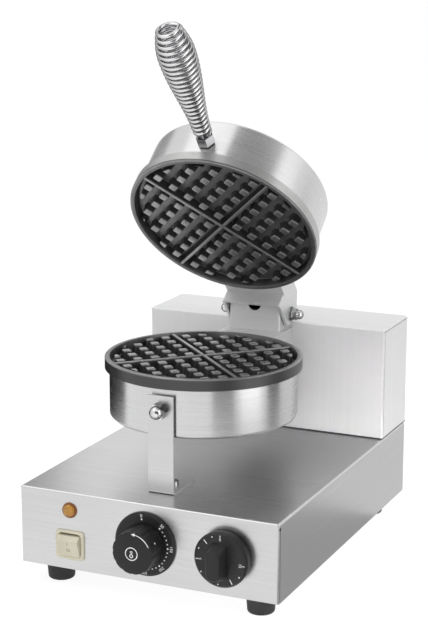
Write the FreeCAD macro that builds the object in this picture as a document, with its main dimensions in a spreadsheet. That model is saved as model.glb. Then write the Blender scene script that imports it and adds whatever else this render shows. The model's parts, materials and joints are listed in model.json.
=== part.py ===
import FreeCAD, Part
import math
import os
import re
import Sketcher

# A round waffle baker: a folded steel base with a rear column, a fixed lower plate,
# a hinged upper plate with a coil-spring handle, and the controls on the front panel.
# Millimetres, +Z up, +Y to the back. The origin is on the floor, under the middle of the object.

doc = FreeCAD.newDocument("waffle_baker")
sheet = doc.addObject("Spreadsheet::Sheet", "Sheet")
sizes = []
derived = {}
nodes = []


def size(name, number):
    """Give one driving dimension a cell of its own."""
    sizes.append(name)
    cell = "A%d" % len(sizes)
    sheet.set(cell, str(number))
    sheet.setAlias(cell, name)


def let(name, text):
    """Name a dimension that follows from others."""
    derived[name] = text


def formula(text):
    """Spell a formula out in cells: sizes become cell names, derived sizes their own formulas."""
    def spell(match):
        word = match.group(0)
        if word in derived:
            return "(" + formula(derived[word]) + ")"
        return "Sheet." + word if word in sizes else word
    return re.sub(r"[a-z][a-z_0-9]*", spell, text)


def value(text):
    """The number that a formula comes to."""
    return float(sheet.evalExpression(formula(text)))


# Base and feet
size("base_width", 250)
size("base_depth", 331.5)
size("base_height", 71.5)
size("steel_sheet", 1.2)
size("bend_radius", 2)
size("flange_width", 15)
size("bottom_sheet", 1)
size("sheet_gap", 0.3)
size("seam_width", 0.9)
size("seam_relief", 3)
size("foot_height", 19.5)
size("foot_top_dia", 27)
size("foot_sole_dia", 24)
size("foot_edge", 2.5)
size("foot_inset_side", 26.5)
size("foot_inset_end", 25)
size("foot_recess_dia", 12)
size("foot_recess_deep", 9)
let("base_top", "foot_height + base_height")
let("front_y", "(control_reach - base_depth - gland_reach) / 2")
let("back_y", "front_y + base_depth")
let("middle_y", "front_y + base_depth / 2")
let("inner_width", "base_width - 2 * steel_sheet")
let("inner_depth", "base_depth - 2 * steel_sheet")
let("foot_x", "base_width / 2 - foot_inset_side")
let("foot_y", "base_depth / 2 - foot_inset_end")

# Screws
size("screw_dia", 5)
size("screw_head_dia", 9)
size("screw_head_height", 2.6)
size("screw_grip", 6)
size("screw_gap", 0.2)
size("nut_flats", 8)
size("nut_height", 4)
let("screw_hole", "screw_dia + 2 * screw_gap")

# Column
size("column_depth", 67.7)
size("column_height", 108.5)
size("column_inset", 0.7)
size("column_lip_drop", 10)
size("column_lip_gap", 0.1)
size("wire_hole_dia", 16)
let("column_width", "base_width - 2 * column_inset")
let("column_front_y", "back_y - column_depth")
let("column_top", "base_top + column_height")
let("column_lip", "2 * steel_sheet + column_lip_gap")
let("column_flange_x", "column_width / 2 - steel_sheet - flange_width / 2")
let("wire_hole_z", "(arm_bottom + arm_top) / 2")

# Baking plates and their round housings
size("plate_setback", 120.2)
size("plate_rise", 106.2)
size("plate_gap", 0.4)
size("rim_dia", 180.2)
size("rim_width", 4.5)
size("rim_edge", 0.8)
size("band_height", 10.6)
size("cavity_depth", 9)
size("cavity_slope", 1.5)
size("spigot_depth", 6)
size("spigot_gap", 0.4)
size("stud_pitch", 16.5)
size("stud_first", 10.2)
size("stud_base", 9.6)
size("stud_height", 8)
size("stud_draft", 8)
size("stud_rows", 5)
size("grid_turn", 45)
size("gutter_width", 3.2)
size("rib_base", 5.2)
size("rib_height", 8.4)
size("housing_dia", 172)
size("housing_bend", 3)
size("lower_housing_height", 44.6)
size("upper_housing_height", 42.6)
let("plate_y", "front_y + plate_setback")
let("rim_z", "base_top + plate_rise")
let("lid_rim_z", "rim_z + plate_gap")
let("cavity_radius", "rim_dia / 2 - rim_width")
let("stud_x", "stud_first * (cos(grid_turn) - sin(grid_turn))")
let("stud_y", "stud_first * (cos(grid_turn) + sin(grid_turn))")
let("plate_under", "band_height + spigot_depth")
let("housing_radius", "housing_dia / 2")
let("housing_bore", "housing_radius - steel_sheet")

# Heating elements, shields and plate bolts
size("element_ring_dia", 112)
size("element_tube_dia", 8)
size("element_opening", 24)
size("element_pin_dia", 5)
size("element_pin_length", 18)
size("contact_gap", 0.2)
size("shield_sheet", 1)
size("shield_inset", 12)
size("pin_hole_gap", 1.6)
size("plate_bolt_dia", 8)
size("plate_bolt_flats", 13)
size("plate_bolt_head", 5.3)
size("plate_bolt_grip", 5)
size("spacer_dia", 14)
size("bulb_dia", 6)
size("bulb_length", 66)
size("bulb_setback", 26)
let("element_z", "plate_under + contact_gap + element_tube_dia / 2")
let("shield_z", "element_z + element_tube_dia / 2 + contact_gap")
let("bolt_hole", "plate_bolt_dia + 2 * screw_gap")
let("element_pin_x", "-element_ring_dia / 2 * cos(element_opening / 2)")
let("element_pin_y", "element_ring_dia / 2 * sin(element_opening / 2)")

# Front support bracket
size("bracket_width", 24.8)
size("bracket_sheet", 2)
size("bracket_bend", 2.5)
size("bracket_height", 89.5)
size("bracket_foot", 42.6)
size("bracket_standoff", 2)
size("bracket_nut_z", 76.5)
size("bracket_screw_setback", 26)
size("dome_flats", 13)
size("dome_hex_height", 6.5)
size("dome_height", 14.5)
let("bracket_back_y", "plate_y - housing_radius - bracket_standoff")
let("bracket_front_y", "bracket_back_y - bracket_sheet")
let("bracket_bolt_z", "base_top + bracket_nut_z")

# Hinge: support arm, pedestal, pin and yoke
size("hinge_ahead", 6.5)
size("hinge_above_rim", 11.5)
size("hinge_pin_dia", 8)
size("hinge_clearance", 0.05)
size("hinge_end_dia", 6)
size("hinge_dome_flats", 10)
size("hinge_dome_hex", 5.5)
size("hinge_dome_height", 12)
size("hinge_washer_dia", 14)
size("hinge_washer", 1)
size("hinge_side_gap", 0.3)
size("bush_dia", 12)
size("arm_width", 60)
size("arm_below_rim", 3.2)
size("arm_height", 44)
size("arm_band_gap", 2.2)
size("pedestal_width", 52.8)
size("pedestal_front", 19.3)
size("pedestal_back", 14.7)
size("pedestal_rise", 13.3)
size("wire_notch_dia", 13.5)
size("ear_sheet", 2.5)
size("yoke_web", 2)
size("yoke_reach", 28.3)
size("yoke_drop", 13.4)
size("yoke_rise", 25.3)
size("yoke_tail", 7.7)
size("yoke_corner", 12)
size("ear_corner", 6)
size("yoke_band_gap", 1.3)
size("yoke_roof", 17)
size("lid_angle", 50.4)
let("hinge_y", "column_front_y - hinge_ahead")
let("hinge_z", "rim_z + hinge_above_rim")
let("arm_top", "rim_z - arm_below_rim")
let("arm_bottom", "arm_top - arm_height")
let("ear_inside", "pedestal_width / 2 + hinge_washer + hinge_side_gap")
let("ear_outside", "ear_inside + ear_sheet")
let("outer_washer_x", "ear_outside + hinge_side_gap")
let("dome_x", "outer_washer_x + hinge_washer")
let("yoke_floor", "lid_rim_z + band_height + yoke_band_gap - hinge_z")
let("plate_to_hinge", "hinge_y - plate_y")

# Handle
size("handle_rise", 26)
size("handle_tilt", 3.4)
size("handle_length", 131.7)
size("ferrule_flats", 15)
size("ferrule_length", 9)
size("ferrule_seat", 0.6)
size("handle_rod_dia", 8)
size("handle_rod_length", 84)
size("handle_nut_flats", 13)
size("handle_nut_height", 6.5)
size("handle_nut_seat", 2.2)
size("spring_wire", 3.8)
size("spring_seat", 0.8)
size("spring_turns", 23)
size("spring_base_dia", 17)
size("spring_belly_dia", 34)
size("spring_tip_dia", 22)
size("spring_belly_at", 0.76)
let("wall_front_y", "plate_y - housing_radius")
let("handle_z", "lid_rim_z + handle_rise")

# Controls on the front panel
size("control_row_z", 35.6)
size("thermostat_x", 0)
size("timer_x", 75.5)
size("switch_x", -75)
size("switch_z", 23)
size("lamp_z", 55.2)
size("control_reach", 28)
size("dial_dia", 58)
size("dial_thick", 3)
size("dial_bevel", 1)
size("dial_hole_dia", 22)
size("knob_gap", 0.8)
size("knob_dia", 39.5)
size("knob_taper", 0.5)
size("knob_edge", 2.4)
size("flute_count", 12)
size("flute_dia", 10)
size("flute_deep", 0.5)
size("timer_knob_dia", 50)
size("timer_skirt", 10)
size("timer_edge", 2)
size("grip_width", 16)
size("grip_length", 33)
size("grip_height", 17)
size("grip_draft", 6)
size("knob_socket_dia", 18)
size("knob_socket_deep", 5)
size("shaft_dia", 6)
size("shaft_in_knob", 14)
size("shaft_in_body", 12)
size("neck_dia", 10)
size("neck_reach", 3.4)
size("control_nut_flats", 14)
size("control_nut_height", 2.6)
size("thermostat_can_dia", 38)
size("thermostat_can_deep", 27)
size("timer_case", 44)
size("timer_case_deep", 34)
size("switch_frame_width", 28.5)
size("switch_frame_height", 27)
size("switch_frame_corner", 4)
size("switch_frame_proud", 2)
size("switch_window", 21.6)
size("switch_wall", 1.6)
size("switch_tube_deep", 16)
size("switch_case_deep", 12)
size("rocker_gap", 0.3)
size("rocker_face", 7.8)
size("rocker_wall", 5.5)
size("rocker_back", 4)
size("rocker_tilt", 18)
size("rocker_proud", 0.3)
size("rocker_pin_dia", 3)
size("rocker_pin_end", 1.2)
size("lamp_ring_dia", 14.6)
size("lamp_ring_proud", 1.6)
size("lamp_lens_dia", 11.4)
size("lamp_lens_proud", 4)
size("lamp_barrel_dia", 9.6)
size("lamp_barrel_deep", 24)
size("lamp_foot", 1)
let("control_z", "foot_height + control_row_z")
let("knob_back", "dial_thick + knob_gap")
let("rocker_end", "switch_window / 2 - rocker_gap")
let("rocker_half", "(rocker_end - rocker_face * sin(rocker_tilt)) / cos(rocker_tilt)")
let("rocker_skirt", "rocker_half + rocker_wall * tan(rocker_tilt)")
let("rocker_under", "rocker_skirt - (rocker_face - rocker_wall + rocker_back) * tan(rocker_tilt)")
let("rocker_low", "rocker_face * cos(rocker_tilt) - rocker_half * sin(rocker_tilt)")
let("rocker_depth", "rocker_low - rocker_proud - switch_frame_proud")
let("rocker_width", "switch_window - 2 * rocker_gap")
let("switch_tube", "switch_window + 2 * switch_wall")

# Mains entry
size("gland_x", -80)
size("gland_z", 26)
size("gland_flats", 22)
size("gland_hex", 5)
size("gland_reach", 21)
size("gland_nose_dia", 15)
size("gland_bore_dia", 9)
size("gland_thread_dia", 16)
size("gland_thread_deep", 12)
size("gland_nut_height", 4)
size("terminal_length", 58)
size("terminal_width", 24)
size("terminal_height", 18)
size("terminal_slot", 4)
size("terminal_ways", 3)
size("terminal_setback", 60)
doc.recompute()


def bind(thing, path, text):
    thing.setExpression(path, formula(text))


def place(piece, x="0", y="0", z="0", turn="0"):
    """Put a piece at x, y, z, turned about X so that its +Y goes towards +Z."""
    about_x = FreeCAD.Rotation(FreeCAD.Vector(1, 0, 0), 1)
    piece.Placement = FreeCAD.Placement(FreeCAD.Vector(), about_x)
    bind(piece, "Placement.Base.x", x)
    bind(piece, "Placement.Base.y", y)
    bind(piece, "Placement.Base.z", z)
    bind(piece, "Placement.Rotation.Angle", turn)
    return piece


def place_on_lid(piece, x="0", y="hinge_y", z="hinge_z", turn="0"):
    """Put a piece where the shut lid has it, then swing it open about the hinge axis."""
    back = "((%s) - hinge_y)" % y
    up = "((%s) - hinge_z)" % z
    open_y = "hinge_y + %s * cos(lid_angle) + %s * sin(lid_angle)" % (back, up)
    open_z = "hinge_z - %s * sin(lid_angle) + %s * cos(lid_angle)" % (back, up)
    return place(piece, x, open_y, open_z, "(%s) - lid_angle" % turn)


def node(piece, name):
    """Name a finished sub-part; the name is also its file's."""
    piece.Label = name
    nodes.append(piece)
    return piece


def body(name):
    return doc.addObject("PartDesign::Body", name)


def sketch(piece, plane, x="0", y="0", out="0", twist="0"):
    """A sketch on one of the body's own planes, its origin moved and its axes twisted."""
    drawing = piece.newObject("Sketcher::SketchObject", "Sketch")
    origin_plane = next(part for part in piece.Origin.OriginFeatures if part.Role == plane)
    drawing.AttachmentSupport = (origin_plane, "")
    drawing.MapMode = "FlatFace"
    about_normal = FreeCAD.Rotation(FreeCAD.Vector(0, 0, 1), 1)
    drawing.AttachmentOffset = FreeCAD.Placement(FreeCAD.Vector(), about_normal)
    bind(drawing, "AttachmentOffset.Rotation.Angle", twist)
    bind(drawing, "AttachmentOffset.Base.x", x)
    bind(drawing, "AttachmentOffset.Base.y", y)
    bind(drawing, "AttachmentOffset.Base.z", out)
    return drawing


def fix_point(drawing, line, text, kind):
    """Hold a line's start at a distance from the sketch's origin."""
    rule = Sketcher.Constraint(kind, -1, 1, line, 1, value(text))
    bind(drawing, "Constraints[%d]" % drawing.addConstraint(rule), text)


def outline(drawing, corners):
    """A closed outline of straight lines through corners given as pairs of formulas."""
    points = [FreeCAD.Vector(value(x), value(y), 0) for x, y in corners]
    lines = []
    for start, end in zip(points, points[1:] + points[:1]):
        lines.append(drawing.addGeometry(Part.LineSegment(start, end)))
    for line, following in zip(lines, lines[1:] + lines[:1]):
        drawing.addConstraint(Sketcher.Constraint("Coincident", line, 2, following, 1))
    for line, (x, y) in zip(lines, corners):
        fix_point(drawing, line, x, "DistanceX")
        fix_point(drawing, line, y, "DistanceY")
    return drawing


def rectangle(drawing, width, height):
    """A rectangle centred on the sketch's origin."""
    left = "-(%s) / 2" % width
    right = "(%s) / 2" % width
    low = "-(%s) / 2" % height
    high = "(%s) / 2" % height
    return outline(drawing, [(left, low), (right, low), (right, high), (left, high)])


def circle(drawing, diameter, x="0", y="0"):
    centre = FreeCAD.Vector(value(x), value(y), 0)
    ring = Part.Circle(centre, FreeCAD.Vector(0, 0, 1), value(diameter) / 2)
    line = drawing.addGeometry(ring)
    rule = drawing.addConstraint(Sketcher.Constraint("Diameter", line, value(diameter)))
    bind(drawing, "Constraints[%d]" % rule, diameter)
    for text, kind in ((x, "DistanceX"), (y, "DistanceY")):
        rule = drawing.addConstraint(Sketcher.Constraint(kind, -1, 1, line, 3, value(text)))
        bind(drawing, "Constraints[%d]" % rule, text)
    return drawing


def feature(piece, kind, drawing, **sizes_of):
    """Add a sketch-based feature and bind its sizes."""
    made = piece.newObject("PartDesign::" + kind, kind)
    made.Profile = drawing
    for name, text in sizes_of.items():
        bind(made, name, text)
    return made


def pad(piece, drawing, length, symmetric=False, draft=None):
    made = feature(piece, "Pad", drawing, Length=length)
    made.Midplane = symmetric
    if draft:
        bind(made, "TaperAngle", "-(%s)" % draft)
    doc.recompute([made])
    return made


def pocket(piece, drawing, depth, forward=False, symmetric=False):
    """Cut against the sketch's normal, or along it where forward is set."""
    before = piece.Tip.Shape.Volume
    made = feature(piece, "Pocket", drawing, Length=depth)
    made.Reversed = forward
    made.Midplane = symmetric
    doc.recompute([made])
    if made.Shape.isNull() or before - made.Shape.Volume < 1e-6:
        raise RuntimeError("a cut in %s removes nothing" % piece.Name)
    return made


def spin(piece, drawing, kind="Revolution", angle="360"):
    """Turn a profile about the sketch's own vertical axis."""
    made = piece.newObject("PartDesign::" + kind, kind)
    made.Profile = drawing
    made.ReferenceAxis = (drawing, ["V_Axis"])
    made.Midplane = True
    bind(made, "Angle", angle)
    doc.recompute([made])
    return made


def turned(name, profile):
    """A round piece: its profile, as radius and height, spun about Z."""
    piece = body(name)
    spin(piece, outline(sketch(piece, "XZ_Plane"), profile))
    return piece


def round_edges(piece, radius, chosen):
    """Round the tip's edges that the test picks."""
    base = piece.Tip
    picked = ["Edge%d" % (i + 1) for i, edge in enumerate(base.Shape.Edges) if chosen(edge)]
    if not picked:
        raise RuntimeError("no edge to round in %s" % piece.Name)
    made = piece.newObject("PartDesign::Fillet", "Fillet")
    made.Base = (base, picked)
    bind(made, "Radius", radius)
    doc.recompute([made])
    return made


def upright(edge):
    box = edge.BoundBox
    return max(box.XLength, box.YLength) < 1e-6


def level(edge, height):
    box = edge.BoundBox
    return box.ZLength < 1e-6 and abs(box.ZMin - height) < 1e-6


def ring_at(edge, height, radius):
    return level(edge, height) and abs(edge.BoundBox.XMax - radius) < 1e-6


def solid(kind, **sizes_of):
    """A plain Part solid with its sizes bound."""
    made = doc.addObject("Part::" + kind, kind)
    for name, text in sizes_of.items():
        bind(made, name, text)
    return made


def cylinder(diameter, height, z="0"):
    return place(solid("Cylinder", Radius="(%s) / 2" % diameter, Height=height), z=z)


def hexagon(flats, height, z="0"):
    made = solid("Prism", Circumradius="(%s) / sqrt(3)" % flats, Height=height)
    made.Polygon = 6
    return place(made, z=z)


def joined(pieces):
    made = doc.addObject("Part::MultiFuse", "Fusion")
    made.Shapes = pieces
    return made


def cut(base, tool):
    made = doc.addObject("Part::Cut", "Cut")
    made.Base = base
    made.Tool = tool
    return made


def group(name, pieces):
    """Several like solids in one sub-part."""
    made = doc.addObject("Part::Compound", name)
    made.Links = pieces
    return node(made, name)


def screw(length, diameter="screw_dia", head="screw_head_dia", height="screw_head_height"):
    """A cheese-head screw: head above the seat at height 0, shank below it."""
    return joined([cylinder(head, height), cylinder(diameter, length, "-(%s)" % length)])


def dome_nut(flats, hex_height, height, bore, bore_deep):
    """A cap nut: hexagon, short neck and round dome, with a blind bore."""
    dome = "0.47 * (%s)" % flats
    neck = "(%s) - (%s)" % (height, dome)
    ball = place(solid("Sphere", Radius=dome), z=neck)
    outside = joined([hexagon(flats, hex_height), cylinder("2 * " + dome, neck), ball])
    return cut(outside, cylinder(bore, bore_deep))


def nut(flats, height, bore):
    return cut(hexagon(flats, height), cylinder(bore, height))


def four(x, y):
    """The four corners at plus and minus x and y."""
    return [("%s(%s)" % (a, x), "%s(%s)" % (b, y)) for a in ("", "-") for b in ("", "-")]


# Base housing: a folded box with turned-in flanges round its open underside
base = body("base_housing")
pad(base, rectangle(sketch(base, "XY_Plane"), "base_width", "base_depth"), "base_height")
round_edges(base, "bend_radius", lambda edge: upright(edge) or level(edge, value("base_height")))
recess = rectangle(sketch(base, "XY_Plane"), "inner_width", "inner_depth")
pocket(base, recess, "bottom_sheet", forward=True)
mouth = sketch(base, "XY_Plane")
rectangle(mouth, "inner_width - 2 * flange_width", "inner_depth - 2 * flange_width")
pocket(base, mouth, "bottom_sheet + steel_sheet", forward=True)
inside = sketch(base, "XY_Plane", out="bottom_sheet + steel_sheet")
rectangle(inside, "inner_width", "inner_depth")
pocket(base, inside, "base_height - bottom_sheet - 2 * steel_sheet", forward=True)

# Openings in the front panel for the controls
panel = sketch(base, "XZ_Plane", out="base_depth / 2")
circle(panel, "neck_dia + 2 * screw_gap", "thermostat_x", "control_row_z")
circle(panel, "neck_dia + 2 * screw_gap", "timer_x", "control_row_z")
circle(panel, "lamp_barrel_dia + 2 * screw_gap", "switch_x", "lamp_z")
pocket(base, panel, "2 * steel_sheet")
window = sketch(base, "XZ_Plane", "switch_x", "switch_z", "base_depth / 2")
rectangle(window, "switch_tube + 2 * screw_gap", "switch_tube + 2 * screw_gap")
pocket(base, window, "2 * steel_sheet")

# Gland hole at the back, bracket and column holes in the top
rear = circle(sketch(base, "XZ_Plane", out="-base_depth / 2"), "gland_thread_dia + 2 * screw_gap",
              "gland_x", "gland_z")
pocket(base, rear, "2 * steel_sheet", forward=True)
let("bracket_screw_y", "bracket_front_y + bracket_screw_setback - middle_y")
let("column_y", "column_front_y + column_depth / 2 - middle_y")
let("column_screw_y", "column_depth / 2 - steel_sheet - flange_width / 2")
deck = sketch(base, "XY_Plane", out="base_height")
circle(deck, "screw_hole", "0", "bracket_screw_y")
circle(deck, "wire_hole_dia", "0", "column_y")
for x, y in four("column_flange_x", "column_screw_y"):
    circle(deck, "screw_hole", x, "column_y + " + y)
pocket(base, deck, "2 * steel_sheet")
for x, y in four("inner_width / 2 - flange_width / 2", "base_depth / 4"):
    hole = circle(sketch(base, "XY_Plane", x, y), "screw_hole")
    pocket(base, hole, "bottom_sheet + 2 * steel_sheet", forward=True)

# Open seams at the front corners, where the side walls meet the front, with a round relief at the top
let("seam_y", "-base_depth / 2 + bend_radius + seam_width / 2")
let("seam_top", "base_height - bend_radius - seam_relief")
for side in ("", "-"):
    wall = "%s(base_width / 2)" % side
    slit = sketch(base, "YZ_Plane", "seam_y", "seam_top / 2", wall)
    rectangle(slit, "seam_width", "seam_top")
    pocket(base, slit, "2 * steel_sheet", symmetric=True)
    relief = circle(sketch(base, "YZ_Plane", "seam_y", "seam_top", wall), "seam_relief")
    pocket(base, relief, "2 * steel_sheet", symmetric=True)
node(place(base, "0", "middle_y", "foot_height"), "base_housing")

# Bottom plate, held up against the flanges
bottom = body("base_bottom_plate")
floor_plan = sketch(bottom, "XY_Plane")
rectangle(floor_plan, "inner_width - 2 * sheet_gap", "inner_depth - 2 * sheet_gap")
for x, y in four("foot_x", "foot_y") + four("inner_width / 2 - flange_width / 2", "base_depth / 4"):
    circle(floor_plan, "screw_hole", x, y)
pad(bottom, floor_plan, "bottom_sheet")
node(place(bottom, "0", "middle_y", "foot_height"), "base_bottom_plate")
plate_screws = []
for x, y in four("inner_width / 2 - flange_width / 2", "base_depth / 4"):
    plate_screws.append(place(screw("screw_grip"), x, "middle_y + " + y, "foot_height", "180"))
group("bottom_plate_screws", plate_screws)

# Rubber feet with their screws and nuts
feet = []
foot_screws = []
foot_nuts = []
for x, y in four("foot_x", "foot_y"):
    foot = turned("foot", [
        ("screw_hole / 2", "foot_recess_deep"), ("foot_recess_dia / 2", "foot_recess_deep"),
        ("foot_recess_dia / 2", "0"), ("foot_sole_dia / 2", "0"),
        ("foot_top_dia / 2", "foot_height"), ("screw_hole / 2", "foot_height")])
    round_edges(foot, "foot_edge", lambda edge: ring_at(edge, 0, value("foot_sole_dia / 2")))
    feet.append(place(foot, x, "middle_y + " + y))
    shank = "foot_height - foot_recess_deep + bottom_sheet + nut_height"
    foot_screws.append(place(screw(shank), x, "middle_y + " + y, "foot_recess_deep", "180"))
    above = "foot_height + bottom_sheet"
    foot_nuts.append(place(nut("nut_flats", "nut_height", "screw_dia"), x, "middle_y + " + y, above))
group("rubber_feet", feet)
group("foot_screws", foot_screws)
group("foot_nuts", foot_nuts)

# Column: a folded box open at the back, its top carried over the rear cover as a hooked lip
column = body("column_housing")
let("column_mid", "column_depth / 2")
plan = sketch(column, "XY_Plane", "0", "column_mid")
pad(column, rectangle(plan, "column_width", "column_depth"), "column_height")


def column_bend(edge):
    box = edge.BoundBox
    front = box.YMax < 1e-6
    top_side = level(edge, value("column_height")) and box.XLength < 1e-6
    return (upright(edge) and front) or (level(edge, value("column_height")) and front) or top_side


round_edges(column, "bend_radius", column_bend)
hook = sketch(column, "YZ_Plane", "column_depth", "column_height")
outline(hook, [
    ("-steel_sheet", "0"), ("column_lip", "0"), ("column_lip", "-column_lip_drop"),
    ("column_lip - steel_sheet", "-column_lip_drop"), ("column_lip - steel_sheet", "-steel_sheet"),
    ("-steel_sheet", "-steel_sheet")])
pad(column, hook, "column_width - 2 * bend_radius", symmetric=True)
room = sketch(column, "XY_Plane", "0", "column_mid", "steel_sheet")
rectangle(room, "column_width - 2 * steel_sheet", "column_depth - 2 * steel_sheet")
pocket(column, room, "column_height - 2 * steel_sheet", forward=True)
under = sketch(column, "XY_Plane", "0", "column_mid")
rectangle(under, "column_width - 2 * steel_sheet - 2 * flange_width",
          "column_depth - 2 * steel_sheet - 2 * flange_width")
pocket(column, under, "steel_sheet", forward=True)
doorway = sketch(column, "XZ_Plane", "0", "column_height / 2", "-column_depth")
rectangle(doorway, "column_width - 2 * steel_sheet - 2 * flange_width",
          "column_height - 2 * steel_sheet - 2 * flange_width")
pocket(column, doorway, "steel_sheet", forward=True)
passage = circle(sketch(column, "XZ_Plane", "0", "wire_hole_z - base_top"), "wire_hole_dia")
pocket(column, passage, "steel_sheet")
for x, y in four("column_flange_x", "column_screw_y"):
    hole = circle(sketch(column, "XY_Plane", x, "column_mid + " + y), "screw_hole")
    pocket(column, hole, "steel_sheet", forward=True)
let("cover_screw_z", "column_height / 2 - steel_sheet - flange_width")
for x, z in four("column_flange_x", "cover_screw_z"):
    hole = sketch(column, "XZ_Plane", x, "column_height / 2 + " + z, "-column_depth")
    pocket(column, circle(hole, "screw_hole"), "steel_sheet", forward=True)
node(place(column, "0", "column_front_y", "base_top"), "column_housing")
column_screws = []
for x, y in four("column_flange_x", "column_screw_y"):
    y_place = "column_front_y + column_mid + " + y
    column_screws.append(place(screw("screw_grip"), x, y_place, "base_top + steel_sheet"))
group("column_screws", column_screws)

# Rear cover under the lip, with its screws
cover = body("column_rear_cover")
let("cover_height", "column_height - steel_sheet - sheet_gap")
face = sketch(cover, "XZ_Plane", "0", "column_height / 2")
outline(face, [
    ("-column_width / 2", "-column_height / 2"), ("column_width / 2", "-column_height / 2"),
    ("column_width / 2", "cover_height - column_height / 2"),
    ("-column_width / 2", "cover_height - column_height / 2")])
for x, z in four("column_flange_x", "cover_screw_z"):
    circle(face, "screw_hole", x, z)
pad(cover, face, "steel_sheet")
node(place(cover, "0", "back_y + steel_sheet", "base_top"), "column_rear_cover")
cover_screws = []
for x, z in four("column_flange_x", "cover_screw_z"):
    z_place = "base_top + column_height / 2 + " + z
    cover_screws.append(place(screw("screw_grip"), x, "back_y + steel_sheet", z_place, "-90"))
group("rear_cover_screws", cover_screws)


# Baking plate: a cast pan with tapered studs in four fields between two crossing ribs
def grid_plate(name):
    """Origin at the middle of the rim, the baking face up."""
    plate = body(name)
    pan = outline(sketch(plate, "XZ_Plane"), [
        ("0", "-plate_under"), ("housing_bore - spigot_gap", "-plate_under"),
        ("housing_bore - spigot_gap", "-band_height"), ("rim_dia / 2", "-band_height"),
        ("rim_dia / 2", "-rim_edge"), ("rim_dia / 2 - rim_edge", "0"), ("cavity_radius", "0"),
        ("cavity_radius - cavity_slope", "-cavity_depth"), ("0", "-cavity_depth")])
    spin(plate, pan)
    corner = sketch(plate, "XY_Plane", "stud_x", "stud_y", "-cavity_depth", "grid_turn")
    stud = pad(plate, rectangle(corner, "stud_base", "stud_base"), "stud_height", draft="stud_draft")
    field = plate.newObject("PartDesign::MultiTransform", "StudField")
    field.Originals = [stud]
    rows = []
    for axis in ("H_Axis", "V_Axis"):
        row = plate.newObject("PartDesign::LinearPattern", "Row")
        row.Direction = (corner, [axis])
        bind(row, "Length", "stud_pitch * (stud_rows - 1)")
        bind(row, "Occurrences", "stud_rows")
        rows.append(row)
    quarters = plate.newObject("PartDesign::PolarPattern", "Quarters")
    quarters.Axis = (pan, ["V_Axis"])
    quarters.Angle = 360
    quarters.Occurrences = 4
    field.Transformations = rows + [quarters]
    plate.Tip = field
    doc.recompute()
    gutter = outline(sketch(plate, "XZ_Plane"), [
        ("cavity_radius - cavity_slope - gutter_width", "-cavity_depth"),
        ("cavity_radius - cavity_slope", "-cavity_depth"), ("cavity_radius", "0"),
        ("cavity_radius", "rim_edge"), ("cavity_radius - cavity_slope - gutter_width", "rim_edge")])
    spin(plate, gutter, "Groove")
    let("stud_far", "2 * (stud_first + stud_rows * stud_pitch)")
    outside = outline(sketch(plate, "XZ_Plane"), [
        ("rim_dia / 2", "-band_height"), ("stud_far", "-band_height"),
        ("stud_far", "rim_edge"), ("rim_dia / 2", "rim_edge")])
    spin(plate, outside, "Groove")
    rib_length = "2 * cavity_radius + rim_width"
    for long, wide in ((rib_length, "rib_base"), ("rib_base", rib_length)):
        rib = sketch(plate, "XY_Plane", out="-cavity_depth", twist="grid_turn")
        pad(plate, rectangle(rib, long, wide), "rib_height", draft="stud_draft")
    tapped = circle(sketch(plate, "XY_Plane", out="-plate_under"), "plate_bolt_dia")
    pocket(plate, tapped, "plate_bolt_grip", forward=True)
    return plate


def round_housing(name, height):
    """A drawn cup that carries a plate on its edge."""
    cup = turned(name, [
        ("0", "-band_height - " + height), ("housing_radius", "-band_height - " + height),
        ("housing_radius", "-band_height"), ("housing_bore", "-band_height"),
        ("housing_bore", "-band_height - %s + steel_sheet" % height),
        ("0", "-band_height - %s + steel_sheet" % height)])
    low = value("-band_height - " + height)
    round_edges(cup, "housing_bend", lambda edge: ring_at(edge, low, value("housing_radius")))
    hole = circle(sketch(cup, "XY_Plane", out="-band_height - " + height), "bolt_hole")
    pocket(cup, hole, "2 * steel_sheet", forward=True)
    return cup


def side_hole(cup, diameter, height, rearward):
    """A hole through one side of a round housing, towards its local +Y or -Y."""
    hole = circle(sketch(cup, "XZ_Plane", "0", height), diameter)
    pocket(cup, hole, "housing_dia", forward=not rearward)


def heating_element(name):
    """A tube bent round in an open ring, with two contact pins."""
    element = body(name)
    section = sketch(element, "XZ_Plane")
    circle(section, "element_tube_dia", "element_ring_dia / 2", "-element_z")
    spin(element, section, angle="360 - element_opening")
    for side in ("", "-"):
        pin = sketch(element, "XY_Plane", out="-element_z - element_pin_length")
        circle(pin, "element_pin_dia", "element_pin_x", side + "element_pin_y")
        pad(element, pin, "element_pin_length")
    return element


def heat_shield(name):
    shield = body(name)
    disc = sketch(shield, "XY_Plane", out="-shield_z - shield_sheet")
    circle(disc, "2 * (housing_bore - shield_inset)")
    circle(disc, "bolt_hole")
    for side in ("", "-"):
        circle(disc, "element_pin_dia + 2 * pin_hole_gap", "element_pin_x", side + "element_pin_y")
    pad(shield, disc, "shield_sheet")
    return shield


def shield_spacer(name, height):
    spacer = body(name)
    floor = "-band_height - %s + steel_sheet" % height
    tube = circle(sketch(spacer, "XY_Plane", out=floor), "spacer_dia")
    circle(tube, "bolt_hole")
    pad(spacer, tube, "band_height + %s - steel_sheet - shield_z - shield_sheet" % height)
    return spacer


def plate_bolt(height):
    """A bolt from the outside of the cup up into the plate."""
    seat = "-band_height - " + height
    shank = "band_height + %s - plate_under + plate_bolt_grip" % height
    head = hexagon("plate_bolt_flats", "plate_bolt_head", "%s - plate_bolt_head" % seat)
    return joined([head, cylinder("plate_bolt_dia", shank, seat)])


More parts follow.
